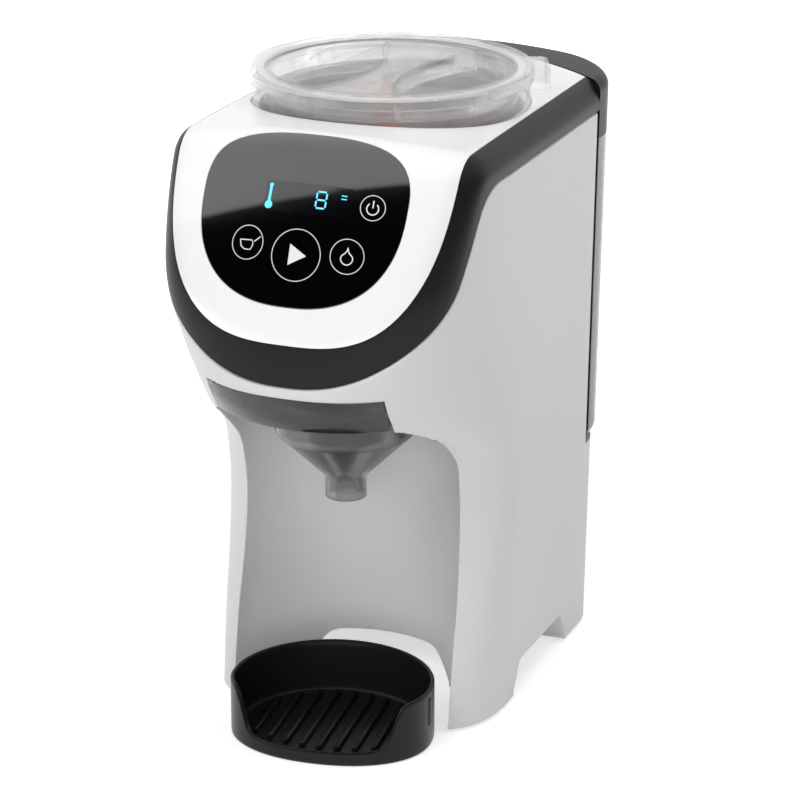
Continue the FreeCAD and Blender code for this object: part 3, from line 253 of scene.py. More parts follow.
def plastic(name, color, rough, grain=0.0, mottle=0.015, coat=0.0, metal=0.0, coat_ior=1.5, gloss=0.5):
    """Moulded plastic or metal: base colour and roughness drift a little, and a fine grain lifts it."""
    material = bpy.data.materials.new(name)
    material.use_nodes = True
    nodes, links = material.node_tree.nodes, material.node_tree.links
    shader = nodes["Principled BSDF"]
    where = nodes.new("ShaderNodeTexCoord")
    cloud, fine = nodes.new("ShaderNodeTexNoise"), nodes.new("ShaderNodeTexNoise")
    cloud.inputs["Scale"].default_value = 14.0
    cloud.inputs["Detail"].default_value = 4.0
    fine.inputs["Scale"].default_value = 900.0
    fine.inputs["Detail"].default_value = 2.0
    links.new(where.outputs["Object"], cloud.inputs["Vector"])
    links.new(where.outputs["Object"], fine.inputs["Vector"])
    tint = nodes.new("ShaderNodeValToRGB")
    tint.color_ramp.elements[0].position, tint.color_ramp.elements[1].position = 0.3, 0.7
    tint.color_ramp.elements[0].color = (*[max(c * (1 - mottle), 0) for c in color], 1)
    tint.color_ramp.elements[1].color = (*[min(c * (1 + mottle), 1) for c in color], 1)
    links.new(cloud.outputs["Fac"], tint.inputs["Fac"])
    links.new(tint.outputs["Color"], shader.inputs["Base Color"])
    sheen = nodes.new("ShaderNodeMapRange")
    sheen.inputs["To Min"].default_value = rough * 0.9
    sheen.inputs["To Max"].default_value = min(rough * 1.1, 1)
    links.new(cloud.outputs["Fac"], sheen.inputs["Value"])
    links.new(sheen.outputs["Result"], shader.inputs["Roughness"])
    if grain:
        bump = nodes.new("ShaderNodeBump")
        bump.inputs["Strength"].default_value = grain
        bump.inputs["Distance"].default_value = 0.0001
        links.new(fine.outputs["Fac"], bump.inputs["Height"])
        links.new(bump.outputs["Normal"], shader.inputs["Normal"])
    shader.inputs["Coat Weight"].default_value = coat
    shader.inputs["Coat Roughness"].default_value = 0.02
    shader.inputs["Coat IOR"].default_value = coat_ior
    shader.inputs["Metallic"].default_value = metal
    shader.inputs["Specular IOR Level"].default_value = gloss
    return material


heights = np.array([STAND, 2.2, 6, 12, 19, 26, 34, 43, 53, 64, 76, 88, 99, SHELF])
base_rows = whole_loop(right_half(heights, low=True), heights[:, None])
base_rows[0, :, :2] *= 0.992
heights = np.array([SHELF, 114, 122, 130, 137, 143.5, NECK])
column_rows = whole_loop(right_half(heights), heights[:, None])
lift = np.linspace(0, 1, 34)[1:, None]
heights = NECK + lift * (seam_z - 1.3 - NECK)
head_rows = whole_loop(right_half(heights), heights)
rim = [whole_loop(right_half(seam_z + dz, inset=inset), seam_z + dz)
       for dz, inset in ((-1.1, 0.02), (-0.3, 0.75), (-0.15, 1.0), (-0.1, WALL))]
heights = seam_z + np.linspace(0, 1, 8)[1:, None] * (INNER_Z - seam_z)
inner_rows = whole_loop(right_half(heights, inset=WALL), heights)
shell = np.concatenate([base_rows, column_rows, head_rows, *rim, inner_rows])
housing = capped("housing", shell, low_cap=(0, 20, STAND), high_cap=(0, -10, INNER_Z))
BAY_R, BAY_Y, BAY_TOP, BAY_ROUND = 60.5, -58, 157.3, 20


def bay_loop(z, shrink):
    """Outline of the bottle bay: half a circle behind and straight cheeks out to the front."""
    r = BAY_R - shrink
    turn = np.linspace(0, np.pi, 81)
    back = np.stack([r * np.cos(turn), BAY_Y + r * np.sin(turn)], -1)
    left = np.stack([np.full(9, -r), np.linspace(BAY_Y, -200, 10)[1:]], -1)
    loop = np.concatenate([back, left, left[::-1] * [-1, 1]])
    return np.concatenate([loop, np.full((len(loop), 1), z)], -1)


bend = np.radians(np.linspace(0, 90, 12))
levels = list(zip(np.linspace(-5, BAY_TOP, 30)[:-1], np.zeros(29)))
levels += [(BAY_TOP + BAY_ROUND * np.sin(b), BAY_ROUND * (1 - np.cos(b))) for b in bend]
bay = capped("bay", np.array([bay_loop(z, shrink) for z, shrink in levels]))


def prism(name, outline, axis, low, high):
    """Closed prism of a flat outline pushed along one axis (0 for X, 2 for Z)."""
    outline = np.asarray(outline, float)
    ends = [np.insert(outline, axis, value, axis=1) for value in (low, high)]
    return capped(name, np.array(ends))


arch_corners = [(-14, -5), (-14, 3.5), (-5, 19.5), (59, 19.5), (68, 3.5), (68, -5)]
arch_side = bent_line(arch_corners, [0.5, 5, 5, 0.5], 6)
arch = prism("arch", arch_side, 0, -120, 120)
box_outline = [(-47.3, -150), (47.3, -150), (47.3, -74), (-47.3, -74)]
notch = prism("notch", box_outline, 2, 171.0, 196.8)
slot = prism("slot", [(-38.5, -150), (38.5, -150), (38.5, -15.3), (-38.5, -15.3)], 2, 170.0, 185.0)
hatch_outline = [(-74.5, 73.5), (74.5, 73.5), (74.5, 92.5), (64.4, 117), (40, 127), (-40, 127),
                 (-64.4, 117), (-74.5, 92.5)]
hatch = prism("hatch", hatch_outline, 2, -1, 6)
carve(housing, bay, arch, notch, slot, hatch)
ease_cuts(housing, 0.8, lambda p: p.z > 3)
housing_plastic = plastic("housing satin grey", GREY, 0.36, grain=0.05, coat=0.12)
finish(housing, "base", housing_plastic, 30.0, "main_housing", "bay_liner", "tank_cradle")

# ---------------------------------------------------------------- top fascia
# The white gloss deck that bends down into the face, in one moulding. It is bowed across its width,
# and open where the powder container and the touch lens stand in it.
FASCIA_HALF, TURN, DROP = 74.25, 238.8, 146.1
FACE_R, FACE_C = 300.0, np.array([158.69, 152.72])
BEND_R, BEND_C = 20.0, np.array([-80.67, 298.0])
BEND_END = np.radians(148.745)
ROUND, CROWN, BOW = 12.0, 6.2, 620.0
EDGE_POWER, LENS_MID = 2.8, 186.2
HOPPER_Y, HOLE_R = 7.0, 71.6


def deck_depth(p):
    """Depth of points under the deck and face: a line, the bend's arc and the face's arc in profile,
    shifted back by x * x / BOW and down by the crown."""
    y = p[..., 1] - p[..., 0] ** 2 / BOW
    z = p[..., 2] + CROWN * (p[..., 0] / FASCIA_HALF) ** 2
    turn = np.arctan2(z - BEND_C[1], y - BEND_C[0])
    on_bend = BEND_R - np.hypot(y - BEND_C[0], z - BEND_C[1])
    on_face = FACE_R - np.hypot(y - FACE_C[0], z - FACE_C[1])
    bent = (turn > 0) & (turn <= BEND_END)
    return np.where(y >= BEND_C[0], DECK - z, np.where(bent, on_bend, on_face))


def wall_depth(p):
    """Depth of points behind the sides and nose: one minus the superellipse radius, to scale."""
    a = half_width(p[..., 2])
    reach, power = through(OUTLINE, p[..., 2], 1), through(OUTLINE, p[..., 2], 2)
    u = np.abs(p[..., 0]) / a
    v = np.maximum(SIDE_Y - p[..., 1], 0) / reach
    r = (u ** power + v ** power) ** (1 / power) + 1e-9
    slope = np.hypot((u / r) ** (power - 1) / a, (v / r) ** (power - 1) / reach)
    return (1 - r) / np.maximum(slope, 1e-4)


def skin_depth(p):
    """Depth under the whole skin: the two depths meet in a rounding of the shoulder's radius."""
    a, b = ROUND - deck_depth(p), ROUND - wall_depth(p)
    return np.where((a > 0) & (b > 0), ROUND - np.hypot(a, b), ROUND - np.maximum(a, b))


def to_skin(start, way, near, far):
    """Moves points from start along way until they lie on the skin, by halving the distance."""
    low, high = np.full(start.shape[:-1], float(near)), np.full(start.shape[:-1], float(far))
    for _ in range(44):
        middle = (low + high) / 2
        inside = skin_depth(start + way * middle[..., None]) > 0
        low, high = np.where(inside, middle, low), np.where(inside, high, middle)
    return start + way * low[..., None]


def tilt(x, w):
    """Points of the skin at x and at y + z = w, found along the line midway between deck and face."""
    start = np.stack([x + 0 * w, w / 2 + 0 * x, w / 2 + 0 * x], -1)
    return to_skin(start, np.array([0, -1.0, 1.0]), 60, 260)


def outward(p):
    """Unit normals of the skin from small differences of its depth."""
    steps = np.eye(3) * 0.05
    slope = np.stack([skin_depth(p - s) - skin_depth(p + s) for s in steps], -1)
    return slope / np.linalg.norm(slope, axis=-1, keepdims=True)


def fascia_edge(turn):
    """The fascia's lower edge in (x, y + z): half a superellipse."""
    c, s = np.cos(turn), np.sin(turn)
    c = np.where(np.abs(c) < 1e-9, 0, c)
    power = 2 / EDGE_POWER
    return FASCIA_HALF * np.sign(c) * np.abs(c) ** power, TURN - DROP * np.abs(s) ** power


def lens_edge(angle, grow=0.0):
    """The lens's outline in (x, y + z): a rounder superellipse below and a squarer one above."""
    c, s = np.cos(angle), np.sin(angle)
    power = np.where(s < 0, 2.4, EDGE_POWER)
    tall = np.where(s < 0, 72.0, 44.8) + grow * 1.414
    r = 1 / ((np.abs(c) / (53.4 + grow)) ** power + (np.abs(s) / tall) ** power) ** (1 / power)
    return r * c, LENS_MID + r * s


def spaced(points, count):
    """The same line with its points spread evenly along it."""
    run = np.concatenate([[0], np.cumsum(np.linalg.norm(np.diff(points, axis=0), axis=1))])
    at = np.linspace(0, run[-1], count)
    return np.stack([np.interp(at, run, points[:, k]) for k in range(points.shape[1])], -1)


SPLIT = 243.0
TRIM = 0.12
split_x = np.linspace(-FASCIA_HALF + TRIM, FASCIA_HALF - TRIM, 31)
split_line = np.stack([split_x, np.full(31, SPLIT)], -1)
sweep = np.linspace(0, np.pi, 400)
lower = np.stack(fascia_edge(sweep), -1) * [1 - TRIM / FASCIA_HALF, 1]
lower = np.concatenate([[(FASCIA_HALF - TRIM, SPLIT)], lower, [(-FASCIA_HALF + TRIM, SPLIT)]])
around_lens = np.concatenate([split_line[:-1], spaced(lower, 150)[:-1]])
across = np.linspace(0, 1, 15)[:, None, None]
ray = np.arctan2(around_lens[:, 1] - LENS_MID, around_lens[:, 0])
inner = np.stack(lens_edge(ray, 0.15), -1)
ring = inner + (around_lens - inner) * across
face_points = tilt(ring[..., 0], ring[..., 1])

rear_x = np.linspace(FASCIA_HALF - TRIM, -FASCIA_HALF + TRIM, 41)
rear_y = REAR_Y + np.sqrt(REAR_R ** 2 - rear_x ** 2)
rear_w = rear_y + DECK - CROWN * (rear_x / FASCIA_HALF) ** 2 - 0.9
right_w = np.linspace(SPLIT, rear_w[0], 42)
right_side = np.stack([np.full(42, FASCIA_HALF - TRIM), right_w], -1)
outer = np.concatenate([split_line[:-1], right_side[:-1], np.stack([rear_x, rear_w], -1)[:-1],
                        (right_side * [-1, 1])[::-1][:-1]])
middle = np.array([0.0, 325.0])
near, far = np.zeros(len(outer)), np.ones(len(outer))
for _ in range(40):
    t = (near + far) / 2
    guess = middle + (outer - middle) * t[:, None]
    spot = tilt(guess[:, 0], guess[:, 1])
    small = np.hypot(spot[:, 0], spot[:, 1] - HOPPER_Y) < HOLE_R
    near, far = np.where(small, t, near), np.where(small, far, t)
inner = middle + (outer - middle) * near[:, None]
ring = inner + (outer - inner) * across
deck_points = tilt(ring[..., 0], ring[..., 1])
points = np.concatenate([face_points.reshape(-1, 3), deck_points.reshape(-1, 3)])
faces = quads(15, face_points.shape[1])
faces += quads(15, deck_points.shape[1], first=face_points[..., 0].size)
fascia = new_piece("fascia", points, faces)


def thicken(piece, depth, edge=0.0):
    """Gives an open skin its wall, inwards, and rounds the edges of the wall."""
    wall = piece.modifiers.new("wall", "SOLIDIFY")
    wall.thickness, wall.offset, wall.use_even_offset = depth / 1000, -1.0, True
    if edge:
        soft = piece.modifiers.new("edge", "BEVEL")
        soft.width, soft.segments, soft.limit_method = edge / 1000, 2, "ANGLE"
        soft.angle_limit = np.radians(50)
        soft.harden_normals = True


def face_up(piece, way=(0, -1, 1)):
    """Turns an open skin over where it faces against the given way."""
    shape = bmesh.new()
    shape.from_mesh(piece.data)
    if sum(f.normal.dot(Vector(way)) * f.calc_area() for f in shape.faces) < 0:
        bmesh.ops.reverse_faces(shape, faces=shape.faces)
    shape.to_mesh(piece.data)
    shape.free()


face_up(fascia)
thicken(fascia, 3.3, 0.35)
fascia_white = plastic("fascia gloss white", (0.972, 0.972, 0.975), 0.16, mottle=0.004, coat=0.5)
finish(fascia, "base", fascia_white, 40.0, "top_fascia")

# ---------------------------------------------------------------- trim band
# A near-black satin moulding that frames the fascia and rolls over the shoulder down to the grey
# housing. Its edges follow the fascia's outline above and the side-view seam below.
edge_out = np.concatenate([right_half(seam_z)[0], seam_z.T], -1)
rear_top = REAR_Y + np.sqrt(REAR_R ** 2 - FASCIA_HALF ** 2)
start = 15
edge_out = edge_out[start:]
n_side = FLANK_N - start
top_y = edge_out[:n_side, 1] + (rear_top - edge_out[0, 1]) * np.linspace(1, 0, n_side)
top_side = np.stack([np.full(n_side, FASCIA_HALF + 0.05), top_y, np.full(n_side, 311.75)], -1)
side_w = np.linspace(SIDE_Y + 311.8, TURN, 60)
edge_x, edge_w = fascia_edge(np.linspace(0, np.pi / 2, 240))
run_x = np.concatenate([np.full(60, FASCIA_HALF), edge_x[1:]])
run_w = np.concatenate([side_w, edge_w[1:]])
run = tilt(run_x, run_w)
length = np.concatenate([[0], np.cumsum(np.linalg.norm(np.diff(run, axis=0), axis=1))])
outer_run = edge_out[n_side:]
steps = np.linalg.norm(np.diff(outer_run, axis=0), axis=1)
outer_length = np.concatenate([[0], np.cumsum(steps)])
share = outer_length / outer_length[-1] * length[-1]
top_front = np.stack([np.interp(share, length, run[:, k]) for k in range(3)], -1)
edge_in = np.concatenate([top_side, top_front])
edge_out[:, 2] += 0.12
n_in, n_out = outward(edge_in), outward(edge_out)
t = np.linspace(0, 1, 17)[:, None, None]
chord = edge_in + (edge_out - edge_in) * t
lean = n_in + (n_out - n_in) * t
lean /= np.linalg.norm(lean, axis=-1, keepdims=True)
strip = to_skin(chord - 3 * lean, lean, 0, 40)
mirrored = strip[:, -2::-1] * [-1, 1, 1]
strip = np.concatenate([strip, mirrored], 1)
band = new_piece("trim_frame", strip.reshape(-1, 3), quads(*strip.shape[:2], closed=False))
face_up(band, (0, -1, 0.3))
thicken(band, 2.8, 0.4)
band_black = plastic("trim satin black", (0.011, 0.011, 0.012), 0.38, grain=0.04, gloss=0.2)
finish(band, "base", band_black, 40.0, "trim_band")

# ---------------------------------------------------------------- touch lens
# A black gloss window let into the face. Its rings, signs and figures are printed or glow through:
# each is a flat film that lies on the lens.
LENS_TOP = 0.10
angle = np.linspace(0, 2 * np.pi, 181)[:-1]
grow = np.linspace(0, 1, 19)[:, None]
lens_x, lens_w = lens_edge(angle)
disc = tilt(lens_x * grow, LENS_MID + (lens_w - LENS_MID) * grow)
lens = new_piece("touch_lens", disc.reshape(-1, 3), quads(19, 180))
face_up(lens)
thicken(lens, 2.2, 0.3)
lens_black = plastic("lens gloss black", (0.0015, 0.0015, 0.0018), 0.12, mottle=0.0, coat=1.0, coat_ior=2.0)
finish(lens, "base", lens_black, 40.0, "panel_lens")


def on_face(x, s, lift=0.0):
    """Points of the face at x and at the length s along its profile arc, lifted off it by lift."""
    a = s / FACE_R
    r = FACE_R + lift
    y = FACE_C[0] + r * np.cos(a) + x ** 2 / BOW
    z = FACE_C[1] + r * np.sin(a) - CROWN * (x / FASCIA_HALF) ** 2
    return np.stack([x + 0 * y, y, z], -1)


def print_line(x, s, width, closed=False):
    """Printed line of even width along a path on the lens: the path is pushed to either side."""
    path = np.stack([x, s], -1).astype(float)
    ahead = np.roll(path, -1, 0) - np.roll(path, 1, 0) if closed else np.gradient(path, axis=0)
    length = np.linalg.norm(ahead, axis=1, keepdims=True)
    side = np.stack([-ahead[:, 1], ahead[:, 0]], -1) / length * width / 2
    both = np.stack([path - side, path + side])
    return on_face(both[..., 0], both[..., 1], LENS_TOP), quads(2, len(path), closed)


def print_shape(outline):
    """Printed solid shape with an outline of (x, s) points, fanned from its middle."""
    outline = np.asarray(outline, float)
    points = np.concatenate([outline, [outline.mean(0)]])
    n = len(outline)
    return on_face(points[:, 0], points[:, 1], LENS_TOP), [[i, (i + 1) % n, n] for i in range(n)]


def print_all(name, parts, material):
    """One piece from many printed lines and shapes."""
    points, faces, count = [], [], 0
    for p, f in parts:
        p = p.reshape(-1, 3)
        points.append(p)
        faces += [[v + count for v in face] for face in f]
        count += len(p)
    film = new_piece(name, np.concatenate(points), faces)
    face_up(film)
    finish(film, "base", material, 40.0)


def circle(x, s, r, width=0.5, start=0.0, end=360.0):
    """Printed ring, or an arc of one."""
    turn = np.radians(np.linspace(start, end, 49))
    whole = end - start >= 360
    turn = turn[:-1] if whole else turn
    return print_line(x + r * np.cos(turn), s + r * np.sin(turn), width, whole)


def stroke(points, width=0.7):
    """Printed line through a few points."""
    line = spaced(np.array(points, float), max(len(points), 8))
    return print_line(line[:, 0], line[:, 1], width)


def glow(name, color, strength):
    """Printing that is lit from behind: a printed ink with a slightly uneven surface."""
    material = plastic(name, color, 0.35, grain=0.03, mottle=0.03)
    shader = material.node_tree.nodes["Principled BSDF"]
    shader.inputs["Emission Color"].default_value = (*color, 1)
    shader.inputs["Emission Strength"].default_value = strength
    return material


line_white = glow("printed light grey", (0.62, 0.63, 0.64), 0.35)
display_blue = glow("display blue", (0.10, 0.52, 0.78), 0.9)
KEYS = [(36.7, 798.9, 6.1), (-24.2, 822.6, 8.3), (2.2, 826.4, 12.6), (28.0, 823.8, 8.4)]
prints = [circle(x, s, r, 0.36) for x, s, r in KEYS]
# power sign, start triangle, scoop and drop
prints += [circle(36.7, 799.3, 2.9, 0.6, -50, 230), stroke([(36.7, 795.3), (36.7, 799.0)], 0.6)]
prints += [print_shape([(-1.4, 821.2), (-1.4, 831.6), (7.6, 826.4)])]
prints += [stroke([(-28.3, 821.4), (-20.6, 821.4), (-21.8, 826.0), (-27.1, 826.0), (-28.3, 821.4)], 0.5),
           stroke([(-20.6, 822.0), (-17.6, 819.4)], 0.5)]
turn = np.radians(np.linspace(0, 360, 41))[:-1]
tip = np.maximum(-np.sin(turn), 0)
drop_r = 3.0 * np.where(np.sin(turn) < 0, 1 + 0.75 * tip ** 7, 1)
drop_x = 3.0 * np.cos(turn) * np.where(np.sin(turn) < 0, (1 - tip ** 3), 1)
prints += [print_line(28.0 + drop_x, 824.8 + drop_r * np.sin(turn), 0.55, True)]
print_all("key_rings", prints, line_white)

SEGMENTS = [[(8.6, 794.6), (12.8, 794.6)], [(8.6, 798.6), (12.8, 798.6)], [(8.6, 802.6), (12.8, 802.6)],
            [(8.2, 795.2), (8.2, 798.0)], [(13.2, 795.2), (13.2, 798.0)],
            [(8.2, 799.2), (8.2, 802.0)], [(13.2, 799.2), (13.2, 802.0)]]
display = [stroke(s, 0.85) for s in SEGMENTS]
bulb = np.radians(np.linspace(0, 360, 25))[:-1]
display += [print_shape(np.stack([-16.3 + 2.0 * np.cos(bulb), 803.3 + 2.0 * np.sin(bulb)], -1)),
            stroke([(-16.3, 793.6), (-16.3, 803)], 1.4), circle(-16.3, 793.6, 0.55, 0.9)]
display += [stroke([(20.6, 795.2), (23.4, 795.2)], 0.5), stroke([(20.6, 796.8), (23.4, 796.8)], 0.5)]
print_all("display_figures", display, display_blue)
window = plastic("display window", (0.0012, 0.0022, 0.0032), 0.12, mottle=0.0, coat=1.0, coat_ior=1.8)
grid_x, grid_s = np.meshgrid(np.linspace(-19, 25.6, 9), np.linspace(791.2, 806, 5))
print_all("display_window", [(on_face(grid_x, grid_s, 0.04), quads(5, 9, False))], window)

# ---------------------------------------------------------------- powder container and lid
# Clear, lightly smoked mouldings. The container is a straight cup with a thicker collar above the
# deck. The lid has a rim and skirt, a sunk floor, a waisted grip bar and one finger lug.


def turned(profile, count=144, y=HOPPER_Y):
    """Ring-shaped rows of points from a closed (radius, height) profile spun about an upright axis."""
    profile = np.asarray(profile, float)
    turn = np.linspace(0, 2 * np.pi, count + 1)[:-1]
    x = profile[:, :1] * np.cos(turn)
    return np.stack([x, y + profile[:, :1] * np.sin(turn), profile[:, 1:] + 0 * x], -1)


def spun(name, profile, radii, count=144, y=HOPPER_Y):
    """Closed piece spun from a profile whose corners are rounded; the profile closes on itself."""
    loop = bent_line([profile[-1], *profile, profile[0]], radii, 5)[1:-1]
    rows = turned(loop, count, y)
    n = len(loop)
    faces = quads(n, count)
    j = np.arange(count)
    k, last = (j + 1) % count, (n - 1) * count
    faces += np.stack([last + j, last + k, k, j], -1).tolist()
    return new_piece(name, rows.reshape(-1, 3), faces)


def clear(name, color, rough, alpha=1.0):
    """Clear or smoked plastic: light passes through, tinted, with a few fine flow marks."""
    material = bpy.data.materials.new(name)
    material.use_nodes = True
    nodes, links = material.node_tree.nodes, material.node_tree.links
    shader = nodes["Principled BSDF"]
    shader.inputs["Base Color"].default_value = (*color, 1)
    shader.inputs["Transmission Weight"].default_value = 1.0
    shader.inputs["IOR"].default_value = 1.46
    shader.inputs["Alpha"].default_value = alpha
    where, cloud = nodes.new("ShaderNodeTexCoord"), nodes.new("ShaderNodeTexNoise")
    cloud.inputs["Scale"].default_value = 30.0
    spread = nodes.new("ShaderNodeMapRange")
    spread.inputs["To Min"].default_value = rough * 0.8
    spread.inputs["To Max"].default_value = rough * 1.3
    links.new(where.outputs["Object"], cloud.inputs["Vector"])
    links.new(cloud.outputs["Fac"], spread.inputs["Value"])
    links.new(spread.outputs["Result"], shader.inputs["Roughness"])
    return material


clear_smoke = clear("clear smoke", (0.86, 0.865, 0.87), 0.035, alpha=0.45)
cup = spun("powder_cup", [(64.5, 242.4), (66.8, 242.4), (66.8, 311.6), (71.0, 311.6), (71.0, 324.5),
                          (69.0, 324.5), (69.0, 328.5), (64.5, 328.5)],
           [0.3, 0.5, 0.6, 1.0, 0.8, 0.3, 0.8, 0.8])
finish(cup, "container", clear_smoke, 35.0, "powder_container")
# Short upright ribs stand round the collar just under the lid's rim, with none where the lug turns.
RIB_FIRST, RIB_STEP, RIB_COUNT = 133.4, 24, 12
rib_r = np.array([70.8, 71.8, 71.8, 70.8])
points, faces = [], []
for k in range(RIB_COUNT):
    turn = np.radians(RIB_FIRST + RIB_STEP * (k + 1)) + np.array([-0.0125, -0.009, 0.009, 0.0125])
    loop = np.stack([rib_r * np.sin(turn), HOPPER_Y - rib_r * np.cos(turn)], -1)
    points += [np.concatenate([loop, np.full((4, 1), z)], -1) for z in (318.7, 324.3)]
    faces += quads(2, 4, first=8 * k)
    faces += [[8 * k + 3, 8 * k + 2, 8 * k + 1, 8 * k], [8 * k + 4 + j for j in range(4)]]
collar_ribs = new_piece("collar_ribs", np.concatenate(points), faces)
finish(collar_ribs, "container", clear_smoke, 35.0)

lid_rim = spun("lid_rim", [(64.2, 317.6), (64.2, 329.8), (71.3, 329.8), (71.3, 325.0), (73.0, 325.0),
                           (73.0, 331.6), (61.9, 331.6), (61.9, 317.6)],
               [0.5, 0.5, 0.5, 0.4, 0.4, 1.4, 1.2, 0.4])
finish(lid_rim, "lid", clear_smoke, 35.0, "container_lid")
floor_rows = turned([(0.01, 317.1), (62.6, 317.1), (62.9, 317.9), (62.6, 318.9), (0.01, 318.9)], 120)
lid_floor = capped("lid_floor", floor_rows)
finish(lid_floor, "lid", clear_smoke, 35.0)

GRIP_REACH, GRIP_R, GRIP_Z = 60.6, 61.4, 318.6
along = np.linspace(-1, 1, 41)
waist = 9.5 + 17.5 * np.abs(along) ** 1.7
bar = np.array([(1.00, 0.0), (0.99, 8.0), (0.95, 10.0), (0.86, 10.6), (0.60, 10.8), (0.0, 10.9)])
bar_x = np.concatenate([bar[:, 0], -bar[-2::-1, 0]])[:, None]
bar_z = np.concatenate([bar[:, 1], bar[-2::-1, 1]])[:, None]
hug = np.sqrt(np.maximum(1 - (waist * bar_x / GRIP_R) ** 2, 0))
grip_y = HOPPER_Y + along * GRIP_REACH * hug
grip_rows = np.stack([waist * bar_x, grip_y, GRIP_Z + bar_z + 0 * waist], -1)
grip = new_piece("lid_grip", grip_rows.reshape(-1, 3), quads(*grip_rows.shape[:2], closed=False))
face_up(grip, (0, 0, 1))
thicken(grip, 1.8)
finish(grip, "lid", clear_smoke, 40.0)

LUG_IN, LUG_OUT, LUG_HALF, LUG_MID = 70.9, 80.3, 12.5, [75, 0]
lug_corners = [(LUG_IN, -LUG_HALF), (LUG_OUT, -LUG_HALF), (LUG_OUT, LUG_HALF), (LUG_IN, LUG_HALF)]
lug_back = np.stack([np.full(5, LUG_IN), np.linspace(LUG_HALF, -LUG_HALF, 7)[1:-1]], -1)
lug_loop = np.concatenate([bent_line(lug_corners, [3.0, 3.0], 8), lug_back])
lug_levels = [(318.9, 0.93), (319.5, 1.0), (330.6, 1.0), (331.4, 0.97), (331.6, 0.92)]
lug_rows = np.array([np.concatenate([(lug_loop - LUG_MID) * k + LUG_MID, np.full((len(lug_loop), 1), z)], -1)
                     for z, k in lug_levels])
lug = capped("lid_lug", lug_rows)
lug.data.transform(Matrix.Translation((0, HOPPER_Y / 1000, 0)) @ Matrix.Rotation(np.radians(25), 4, "Z"))
finish(lug, "lid", clear_smoke, 40.0)

# ---------------------------------------------------------------- mixing wheel and dosing parts
# Orange agitator with three curved blades on a hub, over a white dosing disc, seen softly through
# the lid and collar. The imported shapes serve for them, and these are their materials.
wheel_orange = plastic("wheel gloss orange", (0.86, 0.17, 0.04), 0.25, coat=0.3)
inner_white = plastic("inner satin white", (0.86, 0.86, 0.85), 0.4, grain=0.05)
inner_grey = plastic("inner satin grey", (0.42, 0.43, 0.44), 0.45, grain=0.06)

# ---------------------------------------------------------------- mixing funnel
# Smoked clear drawer: its front plate closes the chin, its bowl narrows to a short spout. The plate
# repeats the housing's outline, so that the two are flush.
FUNNEL_Y, FLANGE_Z, FLANGE_POWER = -54.3, 182.0, 2.17
plate_x = np.linspace(-46.9, 46.9, 61)
plate_z = np.linspace(177.7, 196.5, 15)[:, None]
a, reach, power = half_width(plate_z), through(OUTLINE, plate_z, 1), through(OUTLINE, plate_z, 2)
plate_y = SIDE_Y - reach * (1 - (np.abs(plate_x) / a) ** power) ** (1 / power)
plate_points = np.stack([plate_x + 0 * plate_y, plate_y, plate_z + 0 * plate_y], -1)
plate = new_piece("funnel_plate", plate_points.reshape(-1, 3), quads(15, 61, closed=False))
face_up(plate, (0, -1, 0))
thicken(plate, 2.8, 0.4)
smoke = clear("funnel smoke", (0.25, 0.25, 0.245), 0.12, alpha=0.72)
plate_smoke = clear("front plate smoke", (0.12, 0.12, 0.118), 0.12, alpha=0.88)
finish(plate, "mixing_funnel", plate_smoke, 40.0, "funnel")
bowl = spun("funnel_bowl", [(8.7, 119.2), (10.7, 119.2), (10.7, 130.8), (36.5, 155.8), (38.0, 183.3),
                            (36.0, 183.3), (34.5, 156.8), (8.7, 131.8)],
            [0.4, 0.4, 2.5, 5.0, 0.4, 0.4, 4.0, 2.0], 96, FUNNEL_Y)
finish(bowl, "mixing_funnel", smoke, 40.0)
flange_x = np.linspace(-46.2, 46.2, 41)
aside = (np.abs(flange_x) / half_width(FLANGE_Z)) ** FLANGE_POWER
front = SIDE_Y - (through(OUTLINE, FLANGE_Z, 1) - 3.2) * (1 - aside) ** (1 / FLANGE_POWER)
inner_y = FUNNEL_Y - np.sqrt(np.maximum(37.2 ** 2 - flange_x ** 2, 0))
rows = front + (inner_y - front) * np.linspace(0, 1, 8)[:, None]
flange_points = np.stack([flange_x + 0 * rows, rows, FLANGE_Z + 0.6 + 0 * rows], -1)
flange = new_piece("funnel_flange", flange_points.reshape(-1, 3), quads(8, 41, closed=False))
face_up(flange, (0, 0, 1))
thicken(flange, 2.0)
finish(flange, "mixing_funnel", smoke, 40.0)

# ---------------------------------------------------------------- drip tray
# One black satin moulding: a near-round dish, flatter in front, low at the front lip and sweeping up
# steeply to high sides. It stands loose, a little turned, with fore-and-aft ribs for the bottle.
TRAY_TURN, TRAY_AT = np.radians(7.0), np.array([5.8, -87.8])
TRAY_HALF, TRAY_FRONT, TRAY_REAR, FRONT_POWER = 52.8, 38.0, 50.5, 2 / 2.15
LIP_Z, RIM_RISE, RISE_Y, RISE_RUN, DISH_Z = 7.4, 23.6, -25.9, 1.55, 2.5
TRAY_RIBS, TRAY_RIB_STEP = 9, 9.2
PILL_Y, PILL_Z, PILL_SIZE = -3.0, 20.0, (16.0, 3.2, 1.0)
# The columns stand closer in front, where the rim rises, than at the sides.
turn = np.interp(np.linspace(0, 1, 321), [0, 0.46, 0.62, 0.88, 1], np.radians([-90, -15, 15, 75, 90]))[:-1]
turn = np.concatenate([turn, np.pi - turn[::-1]])
tray_c, tray_s = np.cos(turn), np.sin(turn)


def tray_place(x, y, z):
    """Points of the tray's own frame, set down where it stands."""
    c, s = np.cos(TRAY_TURN), np.sin(TRAY_TURN)
    x, y, z = np.broadcast_arrays(x, y, z)
    return np.stack([TRAY_AT[0] + c * x - s * y, TRAY_AT[1] + s * x + c * y, z], -1)


